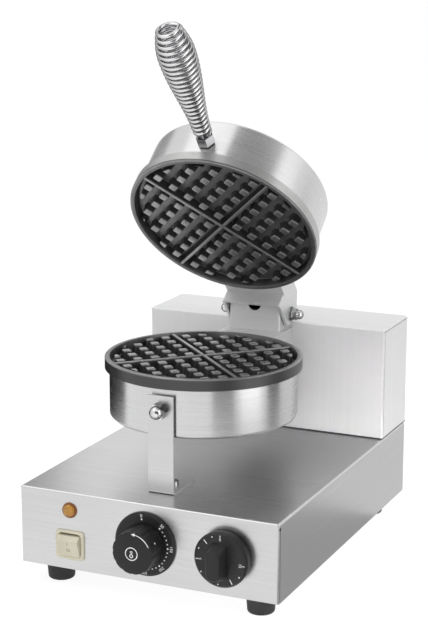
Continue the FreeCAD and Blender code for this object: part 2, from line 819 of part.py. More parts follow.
# Lower baking unit
let("bulb_z", "rim_z - plate_under - contact_gap - bulb_dia / 2")
lower_cup = round_housing("lower_housing", "lower_housing_height")
side_hole(lower_cup, "bolt_hole", "bracket_bolt_z - rim_z", rearward=False)
side_hole(lower_cup, "wire_hole_dia", "wire_hole_z - rim_z", rearward=True)
lower_unit = {
    "lower_housing": lower_cup,
    "lower_grid_plate": grid_plate("lower_grid_plate"),
    "lower_heating_element": heating_element("lower_heating_element"),
    "lower_heat_shield": heat_shield("lower_heat_shield"),
    "lower_shield_spacer": shield_spacer("lower_shield_spacer", "lower_housing_height"),
    "lower_plate_bolt": plate_bolt("lower_housing_height"),
}
for name, piece in lower_unit.items():
    node(place(piece, "0", "plate_y", "rim_z"), name)

# Thermostat bulb, lying across under the lower plate
bulb = body("thermostat_bulb")
pad(bulb, circle(sketch(bulb, "YZ_Plane"), "bulb_dia"), "bulb_length", symmetric=True)
node(place(bulb, "0", "plate_y + bulb_setback", "bulb_z"), "thermostat_bulb")

# Upper baking unit: the same pieces turned over, swung open with the lid
upper_cup = round_housing("upper_housing", "upper_housing_height")
side_hole(upper_cup, "handle_rod_dia + 4 * screw_gap", "-handle_rise", rearward=True)
upper_unit = {
    "upper_housing": upper_cup,
    "upper_grid_plate": grid_plate("upper_grid_plate"),
    "upper_heating_element": heating_element("upper_heating_element"),
    "upper_heat_shield": heat_shield("upper_heat_shield"),
    "upper_shield_spacer": shield_spacer("upper_shield_spacer", "upper_housing_height"),
    "upper_plate_bolt": plate_bolt("upper_housing_height"),
}
for name, piece in upper_unit.items():
    node(place_on_lid(piece, "0", "plate_y", "lid_rim_z", "180"), name)

# Front support bracket: a bent strap from the base up to the lower housing
bracket = body("front_bracket")
bend = sketch(bracket, "YZ_Plane")
outline(bend, [
    ("0", "0"), ("bracket_foot", "0"), ("bracket_foot", "bracket_sheet"),
    ("bracket_sheet", "bracket_sheet"), ("bracket_sheet", "bracket_height"), ("0", "bracket_height")])
pad(bracket, bend, "bracket_width", symmetric=True)


def bracket_heel(edge):
    box = edge.BoundBox
    return box.XLength > 1 and box.ZMax < 1e-6 and box.YMax < 1e-6


round_edges(bracket, "bracket_bend", bracket_heel)
stud_hole = circle(sketch(bracket, "XZ_Plane", "0", "bracket_nut_z"), "bolt_hole")
pocket(bracket, stud_hole, "bracket_sheet")
foot_hole = circle(sketch(bracket, "XY_Plane", "0", "bracket_screw_setback"), "screw_hole")
pocket(bracket, foot_hole, "bracket_sheet", forward=True)
node(place(bracket, "0", "bracket_front_y", "base_top"), "front_bracket")

# Bracket bolt through the housing wall, its standoff washer and its dome nut
let("bracket_bolt_reach", "steel_sheet + bracket_standoff + bracket_sheet + dome_hex_height")
bolt_head = cylinder("plate_bolt_flats", "plate_bolt_head", "-plate_bolt_head")
bracket_bolt = joined([bolt_head, cylinder("plate_bolt_dia", "bracket_bolt_reach")])
let("bolt_seat", "plate_bolt_flats ^ 2 / 4 / housing_dia")
place(bracket_bolt, "0", "wall_front_y + steel_sheet + bolt_seat", "bracket_bolt_z", "90")
node(bracket_bolt, "front_bracket_bolt")
standoff = body("front_bracket_standoff")
tube = circle(sketch(standoff, "XY_Plane"), "spacer_dia")
circle(tube, "bolt_hole")
pad(standoff, tube, "bracket_standoff - contact_gap / 2")
place(standoff, "0", "wall_front_y - contact_gap / 2", "bracket_bolt_z", "90")
node(standoff, "front_bracket_standoff")
bracket_nut = dome_nut("dome_flats", "dome_hex_height", "dome_height", "bolt_hole", "dome_hex_height + 1")
node(place(bracket_nut, "0", "bracket_front_y", "bracket_bolt_z", "90"), "front_bracket_dome_nut")
foot_screw = screw("screw_grip")
place(foot_screw, "0", "bracket_front_y + bracket_screw_setback", "base_top + bracket_sheet")
node(foot_screw, "front_bracket_screw")

# Support arm: a hooded channel from the column to the lower housing, stepped under the plate's band
arm = body("support_arm")
let("arm_length", "column_front_y - plate_y")
let("arm_front", "rim_dia / 2 + arm_band_gap - arm_length")
let("arm_step", "-(band_height + arm_band_gap - arm_below_rim)")
side_view = sketch(arm, "YZ_Plane")
outline(side_view, [
    ("0", "-arm_height"), ("0", "0"), ("arm_front", "0"), ("arm_front", "arm_step"),
    ("spigot_depth - arm_length + housing_radius / 2", "arm_step"),
    ("spigot_depth - arm_length + housing_radius / 2", "-arm_height")])
pad(arm, side_view, "arm_width", symmetric=True)
hollow = sketch(arm, "YZ_Plane")
outline(hollow, [
    ("bend_radius", "-arm_height - bend_radius"), ("bend_radius", "-steel_sheet"),
    ("arm_front + steel_sheet", "-steel_sheet"), ("arm_front + steel_sheet", "arm_step - steel_sheet"),
    ("-arm_length", "arm_step - steel_sheet"), ("-arm_length", "-arm_height - bend_radius")])
pocket(arm, hollow, "arm_width - 2 * steel_sheet", symmetric=True)
saddle = circle(sketch(arm, "XY_Plane", "0", "-arm_length"), "housing_dia + 2 * contact_gap")
pocket(arm, saddle, "4 * arm_height", symmetric=True)
node(place(arm, "0", "column_front_y", "arm_top"), "support_arm")

# Hinge pedestal: a folded hood standing on the arm and on the column's front edge
pedestal = body("hinge_pedestal")
let("arm_level", "arm_top - hinge_z")
let("column_level", "column_top - hinge_z")
hood = sketch(pedestal, "YZ_Plane")
outline(hood, [
    ("-pedestal_front", "arm_level"), ("hinge_ahead", "arm_level"), ("hinge_ahead", "column_level"),
    ("pedestal_back", "column_level"), ("pedestal_back", "pedestal_rise"),
    ("-pedestal_front", "pedestal_rise")])
pad(pedestal, hood, "pedestal_width", symmetric=True)


def pedestal_bend(edge):
    box = edge.BoundBox
    front = box.YMax < value("-pedestal_front") + 1e-6
    return level(edge, value("pedestal_rise")) or (upright(edge) and front)


round_edges(pedestal, "bend_radius", pedestal_bend)
let("hood_inside", "pedestal_width - 2 * steel_sheet")
lining = sketch(pedestal, "YZ_Plane")
outline(lining, [
    ("steel_sheet - pedestal_front", "arm_level - bend_radius"),
    ("pedestal_back - steel_sheet", "arm_level - bend_radius"),
    ("pedestal_back - steel_sheet", "pedestal_rise - steel_sheet"),
    ("steel_sheet - pedestal_front", "pedestal_rise - steel_sheet")])
pocket(pedestal, lining, "hood_inside", symmetric=True)
notch = sketch(pedestal, "XZ_Plane", "0", "pedestal_rise - bend_radius", "pedestal_front")
pocket(pedestal, circle(notch, "wire_notch_dia"), "bend_radius + steel_sheet")
axle_hole = circle(sketch(pedestal, "YZ_Plane"), "hinge_pin_dia")
pocket(pedestal, axle_hole, "2 * pedestal_width", symmetric=True)
node(place(pedestal, "0", "hinge_y", "hinge_z"), "hinge_pedestal")

# Hinge pin, stepped down at both ends for its dome nuts
pin = body("hinge_pin")
pad(pin, circle(sketch(pin, "YZ_Plane"), "hinge_pin_dia"), "2 * dome_x", symmetric=True)
ends = circle(sketch(pin, "YZ_Plane"), "hinge_end_dia")
pad(pin, ends, "2 * (dome_x + hinge_dome_hex)", symmetric=True)
node(place(pin, "0", "hinge_y", "hinge_z"), "hinge_pin")
washers = []
domes = []
across = FreeCAD.Vector(0, 1, 0)
for side, quarter in (("", 90), ("-", -90)):
    for start in ("pedestal_width / 2", "outer_washer_x"):
        washer = body("washer")
        middle = "%s(%s + hinge_washer / 2)" % (side, start)
        ring = circle(sketch(washer, "YZ_Plane", out=middle), "hinge_washer_dia")
        circle(ring, "hinge_pin_dia")
        pad(washer, ring, "hinge_washer", symmetric=True)
        washers.append(place(washer, "0", "hinge_y", "hinge_z"))
    cap = dome_nut("hinge_dome_flats", "hinge_dome_hex", "hinge_dome_height", "hinge_end_dia",
                   "hinge_dome_hex")
    cap.Placement = FreeCAD.Placement(FreeCAD.Vector(), FreeCAD.Rotation(across, quarter))
    bind(cap, "Placement.Base.x", "%s(dome_x)" % side)
    bind(cap, "Placement.Base.y", "hinge_y")
    bind(cap, "Placement.Base.z", "hinge_z")
    domes.append(cap)
group("hinge_washers", washers)
group("hinge_dome_nuts", domes)

# Lid yoke: a box arm behind the upper housing that drops into two ears round the pedestal
yoke = body("hinge_yoke")
let("yoke_start", "housing_radius / 2 - plate_to_hinge")
ear = sketch(yoke, "YZ_Plane")
outline(ear, [
    ("-yoke_reach", "-yoke_drop"), ("yoke_tail - ear_corner", "-yoke_drop"),
    ("yoke_tail", "ear_corner - yoke_drop"), ("yoke_tail", "yoke_rise - yoke_corner"),
    ("yoke_tail - yoke_corner", "yoke_rise"), ("yoke_start", "yoke_rise"),
    ("yoke_start", "yoke_floor"), ("-yoke_reach", "yoke_floor")])
pad(yoke, ear, "2 * ear_outside", symmetric=True)


def yoke_bend(edge):
    box = edge.BoundBox
    return upright(edge) and box.YMax < value("-yoke_reach") + 1e-6 and box.ZMax < value("yoke_floor") + 1e-6


round_edges(yoke, "bend_radius", yoke_bend)
between = sketch(yoke, "YZ_Plane")
outline(between, [
    ("yoke_web - yoke_reach", "-2 * yoke_drop"), ("2 * yoke_tail", "-2 * yoke_drop"),
    ("2 * yoke_tail", "2 * yoke_rise"), ("-yoke_roof", "2 * yoke_rise"),
    ("-yoke_roof", "yoke_rise - yoke_web"), ("yoke_web - yoke_reach", "yoke_rise - yoke_web")])
pocket(yoke, between, "2 * ear_inside", symmetric=True)
channel = sketch(yoke, "YZ_Plane")
outline(channel, [
    ("-plate_to_hinge", "yoke_floor + yoke_web"), ("-yoke_reach", "yoke_floor + yoke_web"),
    ("-yoke_reach", "yoke_rise - yoke_web"), ("-plate_to_hinge", "yoke_rise - yoke_web")])
pocket(yoke, channel, "2 * ear_inside", symmetric=True)
seat = circle(sketch(yoke, "XY_Plane", "0", "-plate_to_hinge"), "housing_dia + 2 * contact_gap")
pocket(yoke, seat, "4 * yoke_rise", symmetric=True)
bush_hole = circle(sketch(yoke, "YZ_Plane"), "bush_dia")
pocket(yoke, bush_hole, "4 * ear_outside", symmetric=True)
node(place_on_lid(yoke), "hinge_yoke")
bushes = []
for side in ("", "-"):
    bush = body("bush")
    middle = "%s(ear_inside + ear_sheet / 2)" % side
    ring = circle(sketch(bush, "YZ_Plane", out=middle), "bush_dia")
    circle(ring, "hinge_pin_dia + 2 * hinge_clearance")
    pad(bush, ring, "ear_sheet", symmetric=True)
    bushes.append(place_on_lid(bush))
group("hinge_bushes", bushes)


def place_on_handle(piece, along="0"):
    """Put a piece on the handle's axis, which leaves the upper housing with a slight upward tilt."""
    y = "wall_front_y - (%s) * cos(handle_tilt)" % along
    z = "handle_z + (%s) * sin(handle_tilt)" % along
    return place_on_lid(piece, "0", y, z, "90 - handle_tilt")


# Handle: rod, inner nut, hexagonal ferrule and a barrel-shaped open coil
let("rod_start", "-handle_nut_seat - handle_nut_height")
rod = cylinder("handle_rod_dia", "handle_rod_length")
node(place_on_handle(rod, "rod_start"), "handle_rod")
inner_nut = nut("handle_nut_flats", "handle_nut_height", "handle_rod_dia")
node(place_on_handle(inner_nut, "rod_start"), "handle_nut")
ferrule = nut("ferrule_flats", "ferrule_length", "handle_rod_dia")
node(place_on_handle(ferrule, "ferrule_seat"), "handle_ferrule")


def spring_path():
    """Points and directions of the coil's middle line at each quarter turn.

    The radius swells from the base to the belly along half a cosine and closes in on the tip
    along a quarter of one; the height climbs at a steady rate.
    """
    wire = value("spring_wire")
    turns = round(value("spring_turns"))
    low = value("ferrule_seat + ferrule_length + spring_seat") + wire / 2
    high = value("handle_length") - wire / 2
    base_r = (value("spring_base_dia") - wire) / 2
    belly_r = (value("spring_belly_dia") - wire) / 2
    tip_r = (value("spring_tip_dia") - wire) / 2
    belly_at = value("spring_belly_at")

    def radius(share):
        if share < belly_at:
            return base_r + (belly_r - base_r) * (1 - math.cos(math.pi * share / belly_at)) / 2
        rest = (share - belly_at) / (1 - belly_at)
        return tip_r + (belly_r - tip_r) * math.cos(math.pi / 2 * rest)

    def point(share):
        angle = 2 * math.pi * turns * share
        around = radius(share)
        return FreeCAD.Vector(around * math.cos(angle), around * math.sin(angle), low + (high - low) * share)

    step = 1e-5
    stations = []
    for quarter in range(4 * turns + 1):
        share = quarter / (4 * turns)
        before = point(max(share - step, 0))
        after = point(min(share + step, 1))
        stations.append((point(share), (after - before).normalize()))
    return stations


def arc(start, corner, end):
    """The arc that leaves start and reaches end along the two legs that meet at corner."""
    chord_mid = (start + end) / 2
    half = (end - start).Length / 2
    rise = (corner - chord_mid).Length
    sagitta = half * math.tan(math.atan2(rise, half) / 2)
    return Part.Arc(start, chord_mid + (corner - chord_mid).normalize() * sagitta, end)


def biarc(start, start_dir, end, end_dir):
    """Two arcs, tangent to each other, that join two points along two given directions."""
    gap = end - start
    both = start_dir + end_dir
    spread = 2 * (1 - start_dir.dot(end_dir))
    along = gap.dot(both)
    leg = (math.sqrt(along ** 2 + spread * gap.dot(gap)) - along) / spread
    first = start + start_dir * leg
    second = end - end_dir * leg
    middle = (first + second) / 2
    return [arc(start, first, middle), arc(middle, second, end)]


def least_gap(wire_path, turns, wire):
    """The smallest clear distance between one turn of the wire and another."""
    points = wire_path.discretize(Number=36 * turns)
    skip = 24
    nearest = min((points[i] - points[j]).Length
                  for i in range(len(points)) for j in range(i + skip, min(i + 3 * skip, len(points))))
    return nearest - wire


stations = spring_path()
wire_dia = value("spring_wire")
first_point, first_dir = stations[0]
last_point, last_dir = stations[-1]
edges = [Part.LineSegment(first_point - first_dir * wire_dia, first_point).toShape()]
for (start, start_dir), (end, end_dir) in zip(stations, stations[1:]):
    edges += [piece.toShape() for piece in biarc(start, start_dir, end, end_dir)]
edges.append(Part.LineSegment(last_point, last_point + last_dir * wire_dia).toShape())
coil_line = Part.Wire(edges)
coil_start = Part.Circle(first_point - first_dir * wire_dia, first_dir, wire_dia / 2)
coil = coil_line.makePipeShell([Part.Wire([coil_start.toShape()])], True, False)
spring = doc.addObject("Part::Feature", "handle_spring")
spring.Shape = coil
node(place_on_handle(spring), "handle_spring")
print("spring gap %.2f mm" % least_gap(coil_line, round(value("spring_turns")), wire_dia))
print("spring volume against section times length %.4f"
      % (coil.Volume / (coil_line.Length * math.pi * wire_dia ** 2 / 4)))

# Signal lamp: ring, lens and barrel
ring = turned("lamp_ring", [
    ("lamp_barrel_dia / 2", "0"), ("lamp_ring_dia / 2", "0"),
    ("lamp_ring_dia / 2 - lamp_ring_proud / 3", "lamp_ring_proud"), ("lamp_lens_dia / 2", "lamp_ring_proud"),
    ("lamp_lens_dia / 2", "lamp_foot"), ("lamp_barrel_dia / 2", "lamp_foot")])
lens = turned("lamp_lens", [
    ("0", "lamp_foot"), ("lamp_lens_dia / 2", "lamp_foot"), ("lamp_lens_dia / 2", "lamp_lens_proud / 2"),
    ("lamp_lens_dia / 3", "lamp_lens_proud"), ("0", "lamp_lens_proud")])
barrel = body("lamp_body")
pad(barrel, circle(sketch(barrel, "XY_Plane", out="-lamp_barrel_deep"), "lamp_barrel_dia"),
    "lamp_barrel_deep + lamp_foot")
collar = circle(sketch(barrel, "XY_Plane", out="-steel_sheet - sheet_gap"), "lamp_ring_dia")
pad(barrel, circle(collar, "lamp_barrel_dia"), "lamp_foot").Reversed = True
for name, piece in (("lamp_ring", ring), ("lamp_lens", lens), ("lamp_body", barrel)):
    node(place(piece, "switch_x", "front_y", "foot_height + lamp_z", "90"), name)

# Rocker switch: snap-in frame, case behind it, and the rocker on its pivot
frame_piece = body("switch_frame")
flange = rectangle(sketch(frame_piece, "XY_Plane"), "switch_frame_width", "switch_frame_height")
pad(frame_piece, flange, "switch_frame_proud")
round_edges(frame_piece, "switch_frame_corner", upright)
tube = rectangle(sketch(frame_piece, "XY_Plane"), "switch_tube", "switch_tube")
pad(frame_piece, tube, "switch_tube_deep").Reversed = True
window = sketch(frame_piece, "XY_Plane", out="switch_frame_proud")
rectangle(window, "switch_window", "switch_window")
pocket(frame_piece, window, "switch_frame_proud + switch_tube_deep")
pivot = sketch(frame_piece, "YZ_Plane", "0", "-rocker_depth")
circle(pivot, "rocker_pin_dia + 2 * hinge_clearance")
pocket(frame_piece, pivot, "2 * switch_tube", symmetric=True)
node(place(frame_piece, "switch_x", "front_y", "foot_height + switch_z", "90"), "switch_frame")
case = body("switch_case")
back = sketch(case, "XY_Plane", out="-switch_tube_deep - switch_case_deep")
pad(case, rectangle(back, "switch_tube", "switch_tube"), "switch_case_deep")
for x, y in four("switch_window / 4", "switch_window / 4"):
    blade = sketch(case, "XY_Plane", x, y, "-switch_tube_deep - 2 * switch_case_deep")
    pad(case, rectangle(blade, "steel_sheet", "rocker_pin_dia * 2"), "switch_case_deep")
node(place(case, "switch_x", "front_y", "foot_height + switch_z", "90"), "switch_case")
cheek = body("power_rocker")
wedge = outline(sketch(cheek, "YZ_Plane"), [
    ("-rocker_under", "-rocker_back"), ("rocker_under", "-rocker_back"),
    ("rocker_skirt", "rocker_face - rocker_wall"), ("rocker_half", "rocker_face"),
    ("-rocker_half", "rocker_face"), ("-rocker_skirt", "rocker_face - rocker_wall")])
pad(cheek, wedge, "rocker_width", symmetric=True)
stub = circle(sketch(cheek, "YZ_Plane"), "rocker_pin_dia")
pad(cheek, stub, "rocker_width + 2 * rocker_gap + 2 * rocker_pin_end", symmetric=True)
place(cheek, "switch_x", "front_y + rocker_depth", "foot_height + switch_z", "90 + rocker_tilt")
node(cheek, "power_rocker")


# Turning controls: each has a body behind the panel, a nut in front of it, a shaft and a knob
def control_body(piece):
    """Add the threaded neck and the shaft's bore to a control's case."""
    neck = circle(sketch(piece, "XY_Plane", out="-steel_sheet"), "neck_dia")
    pad(piece, neck, "steel_sheet + neck_reach")
    bore = circle(sketch(piece, "XY_Plane", out="neck_reach"), "shaft_dia + 2 * hinge_clearance")
    pocket(piece, bore, "neck_reach + steel_sheet + shaft_in_body")
    return piece


def shaft(name, knob_end):
    piece = body(name)
    rod_end = circle(sketch(piece, "XY_Plane", out="contact_gap - steel_sheet - shaft_in_body"), "shaft_dia")
    pad(piece, rod_end, "steel_sheet + shaft_in_body - contact_gap + " + knob_end)
    return piece


def knob_socket(piece, back):
    """Hollow the back of a knob for the nut and bore it for the shaft."""
    hollow_back = circle(sketch(piece, "XY_Plane", out=back), "knob_socket_dia")
    pocket(piece, hollow_back, "knob_socket_deep", forward=True)
    bore = circle(sketch(piece, "XY_Plane", out=back), "shaft_dia")
    pocket(piece, bore, "shaft_in_knob", forward=True)
    return piece


can = body("thermostat_body")
pad(can, circle(sketch(can, "XY_Plane", out="-steel_sheet - thermostat_can_deep"), "thermostat_can_dia"),
    "thermostat_can_deep")
control_body(can)
dial = turned("thermostat_dial", [
    ("dial_hole_dia / 2", "0"), ("dial_dia / 2", "0"), ("dial_dia / 2", "dial_thick - dial_bevel"),
    ("dial_dia / 2 - 2 * dial_bevel", "dial_thick"), ("dial_hole_dia / 2", "dial_thick")])
knob = turned("thermostat_knob", [
    ("0", "knob_back"), ("knob_dia / 2", "knob_back"),
    ("knob_dia / 2 - knob_taper", "control_reach"), ("0", "control_reach")])
knob_front = value("control_reach")
knob_front_radius = value("knob_dia / 2 - knob_taper")
round_edges(knob, "knob_edge", lambda edge: ring_at(edge, knob_front, knob_front_radius))
flute_plan = sketch(knob, "XY_Plane", "0", "0", "control_reach")
circle(flute_plan, "flute_dia", "knob_dia / 2 + flute_dia / 2 - knob_taper - flute_deep")
flute = pocket(knob, flute_plan, "control_reach - 2 * knob_back")
flutes = knob.newObject("PartDesign::PolarPattern", "Flutes")
flutes.Originals = [flute]
flutes.Axis = (flute_plan, ["N_Axis"])
flutes.Angle = 360
bind(flutes, "Occurrences", "flute_count")
knob.Tip = flutes
doc.recompute()
knob_socket(knob, "knob_back")
for name, piece in (
        ("thermostat_body", can), ("thermostat_dial", dial), ("thermostat_knob", knob),
        ("thermostat_shaft", shaft("thermostat_shaft", "knob_back + shaft_in_knob"))):
    node(place(piece, "thermostat_x", "front_y", "control_z", "90"), name)

timer = body("timer_body")
square = sketch(timer, "XY_Plane", out="-steel_sheet - timer_case_deep")
pad(timer, rectangle(square, "timer_case", "timer_case"), "timer_case_deep")
control_body(timer)
timer_knob = turned("timer_knob", [
    ("0", "knob_gap"), ("timer_knob_dia / 2", "knob_gap"),
    ("timer_knob_dia / 2", "knob_gap + timer_skirt - timer_edge"),
    ("timer_knob_dia / 2 - timer_edge", "knob_gap + timer_skirt"), ("0", "knob_gap + timer_skirt")])
grip = rectangle(sketch(timer_knob, "XY_Plane", out="knob_gap + timer_skirt"), "grip_width", "grip_length")
pad(timer_knob, grip, "grip_height", draft="grip_draft")
grip_top = value("knob_gap + timer_skirt + grip_height")
round_edges(timer_knob, "timer_edge", lambda edge: level(edge, grip_top))
knob_socket(timer_knob, "knob_gap")
for name, piece in (
        ("timer_body", timer), ("timer_knob", timer_knob),
        ("timer_shaft", shaft("timer_shaft", "knob_gap + shaft_in_knob"))):
    node(place(piece, "timer_x", "front_y", "control_z", "90"), name)
control_nuts = []
for x in ("thermostat_x", "timer_x"):
    clamp = nut("control_nut_flats", "control_nut_height", "neck_dia")
    control_nuts.append(place(clamp, x, "front_y", "control_z", "90"))
group("control_nuts", control_nuts)

# Cable gland and its lock nut in the rear wall
gland_parts = [hexagon("gland_flats", "gland_hex")]
nose_length = "gland_reach - gland_hex"
nose = solid("Cone", Radius1="gland_flats / 2", Radius2="gland_nose_dia / 2", Height=nose_length)
gland_parts.append(place(nose, z="gland_hex"))
gland_parts.append(cylinder("gland_thread_dia", "gland_thread_deep", "-gland_thread_deep"))
gland_bore = cylinder("gland_bore_dia", "gland_reach + gland_thread_deep", "-gland_thread_deep")
gland = cut(joined(gland_parts), gland_bore)
node(place(gland, "gland_x", "back_y", "foot_height + gland_z", "-90"), "cable_gland")
lock_nut = nut("gland_flats", "gland_nut_height", "gland_thread_dia")
node(place(lock_nut, "gland_x", "back_y - steel_sheet", "foot_height + gland_z", "90"), "cable_gland_nut")

# Terminal block on the bottom plate
block = body("terminal_block")
pad(block, rectangle(sketch(block, "XY_Plane"), "terminal_length", "terminal_width"), "terminal_height")
let("terminal_step", "terminal_length / terminal_ways")
for way in range(1, round(value("terminal_ways"))):
    gap_at = "%d * terminal_step - terminal_length / 2" % way
    slot = sketch(block, "XZ_Plane", gap_at, "terminal_height")
    pocket(block, rectangle(slot, "terminal_slot", "terminal_height"), "2 * terminal_width", symmetric=True)
node(place(block, "0", "back_y - terminal_setback", "foot_height + bottom_sheet"), "terminal_block")

doc.recompute()
for thing in doc.Objects:
    if "Invalid" in thing.State or "Error" in thing.State:
        raise RuntimeError("%s did not build" % thing.Label)
for piece in nodes:
    if piece.Shape.isNull() or not piece.Shape.isValid() or not piece.Shape.Solids:
        raise RuntimeError("%s is not a sound solid" % piece.Label)

os.makedirs("parts", exist_ok=True)
for piece in nodes:
    piece.Shape.exportStep("parts/%s.step" % piece.Label)
print("%d sub-parts written" % len(nodes))
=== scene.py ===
import json
import math

import bmesh
import bpy
import numpy as np
from bpy.props import FloatProperty, FloatVectorProperty, IntProperty, PointerProperty
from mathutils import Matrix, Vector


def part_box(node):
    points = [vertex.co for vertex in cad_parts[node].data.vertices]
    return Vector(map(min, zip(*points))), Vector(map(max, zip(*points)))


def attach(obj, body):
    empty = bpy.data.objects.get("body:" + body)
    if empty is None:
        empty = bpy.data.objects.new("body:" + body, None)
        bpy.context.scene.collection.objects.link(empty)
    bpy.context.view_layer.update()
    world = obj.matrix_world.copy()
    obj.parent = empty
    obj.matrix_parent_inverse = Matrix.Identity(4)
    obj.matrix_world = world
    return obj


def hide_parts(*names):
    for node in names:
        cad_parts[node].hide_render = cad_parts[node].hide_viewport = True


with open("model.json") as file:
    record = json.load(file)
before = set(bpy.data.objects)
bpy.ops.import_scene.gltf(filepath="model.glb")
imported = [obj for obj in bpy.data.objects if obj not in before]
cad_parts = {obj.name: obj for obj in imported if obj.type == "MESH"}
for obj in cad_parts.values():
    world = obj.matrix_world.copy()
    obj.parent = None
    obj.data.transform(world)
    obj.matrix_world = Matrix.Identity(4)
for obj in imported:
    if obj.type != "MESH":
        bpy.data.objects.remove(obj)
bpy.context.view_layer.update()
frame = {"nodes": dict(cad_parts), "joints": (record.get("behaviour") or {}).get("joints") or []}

bl_info = {
    "name": "Waffle baker looks",
    "version": (1, 0, 0),
    "blender": (4, 5, 0),
    "location": "View3D > Sidebar > Baker",
    "description": "Dresses the waffle baker's solids with finished surfaces, prints and a studio",
    "category": "Object",
}

NODES = frame["nodes"]
JOINTS = {joint["name"]: joint for joint in frame["joints"]}
PANEL_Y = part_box("base_housing")[0].y
PLATE_LOW, PLATE_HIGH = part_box("lower_grid_plate")
PLATE_Y = (PLATE_LOW.y + PLATE_HIGH.y) / 2
RIM_Z = PLATE_HIGH.z
RIM_RADIUS = (PLATE_HIGH.x - PLATE_LOW.x) / 2
HOUSING_LOW, HOUSING_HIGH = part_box("lower_housing")
HOUSING_RADIUS = (HOUSING_HIGH.y - HOUSING_LOW.y) / 2
HINGE = np.array(JOINTS["lid_hinge"]["pos_m"])
LID_OPEN = math.radians(-JOINTS["lid_hinge"]["range_deg"][0])
TURN = 2 * math.pi


def length(name, description, default):
    return FloatProperty(name=name, description=description, default=default, unit="LENGTH", precision=4)


def angle(name, description, degrees):
    return FloatProperty(name=name, description=description, default=math.radians(degrees), unit="ROTATION")


def count(name, description, default):
    return IntProperty(name=name, description=description, default=default, min=1)


def colour(name, description, default):
    return FloatVectorProperty(name=name, description=description, default=default, size=3,
                               subtype="COLOR", min=0, max=1)


class PlateSizes(bpy.types.PropertyGroup):
    """Sizes of the two cast baking plates and their round housings."""
    stud_pitch: length("Stud pitch", "Distance between neighbouring studs", 0.0165)
    stud_first: length("First stud", "Distance of the first stud from each rib's middle", 0.0102)
    stud_base: length("Stud base", "Width of a stud at the floor", 0.0096)
    stud_height: length("Stud height", "Height of a stud above the floor", 0.008)
    stud_draft: angle("Stud draft", "Slope of a stud's sides", 8)
    stud_rows: count("Stud rows", "Rows of studs in a quarter", 5)
    grid_turn: angle("Grid turn", "How far the ribs are turned from the front", 45)
    rib_base: length("Rib base", "Width of a rib at the floor", 0.0052)
    rib_height: length("Rib height", "Height of a rib above the floor", 0.0084)
    rim_width: length("Rim width", "Width of the flat rim", 0.0045)
    rim_edge: length("Rim edge", "Size of the rim's broken edge", 0.0008)
    cavity_depth: length("Cavity depth", "Depth of the floor below the rim", 0.009)
    cavity_slope: length("Cavity slope", "How far the cavity wall leans in", 0.0015)
    gutter_width: length("Gutter width", "Clear ring between the studs and the wall", 0.0032)
    band_height: length("Band height", "Height of the plate's outer band", 0.0106)
    spigot_depth: length("Spigot depth", "Depth of the seat inside the housing", 0.006)
    seat_gap: length("Seat gap", "Gap between the seat and the housing", 0.0004)
    plate_gap: length("Plate gap", "Gap between the rims when shut", 0.0004)
    cast_radius: length("Cast radius", "Rounding of the cast edges", 0.0006)
    foot_flare: length("Foot flare", "Flare at the foot of a stud", 0.0004)
    lower_height: length("Lower housing height", "Height of the lower housing", 0.0446)
    upper_height: length("Upper housing height", "Height of the upper housing", 0.0426)
    sheet: length("Sheet", "Thickness of the steel sheet", 0.0012)
    housing_bend: length("Housing bend", "Radius at the housing's closed end", 0.003)


class HandleSizes(bpy.types.PropertyGroup):
    """Sizes of the coil-spring handle."""
    rise: length("Rise", "Height of the handle above the upper rim", 0.026)
    tilt: angle("Tilt", "Upward tilt of the handle when shut", 3.4)
    coil_start: length("Coil start", "Distance of the coil from the housing wall", 0.0104)
    coil_end: length("Coil end", "Distance of the handle's tip from the housing wall", 0.1317)
    wire: length("Wire", "Diameter of the spring wire", 0.0038)
    turns: count("Turns", "Number of turns", 23)
    base_dia: length("Base diameter", "Outer diameter at the ferrule", 0.017)
    belly_dia: length("Belly diameter", "Largest outer diameter", 0.034)
    tip_dia: length("Tip diameter", "Outer diameter at the tip", 0.022)
    belly_at: FloatProperty(name="Belly place", description="Share of the length at the belly",
                            default=0.76, min=0.1, max=0.9)


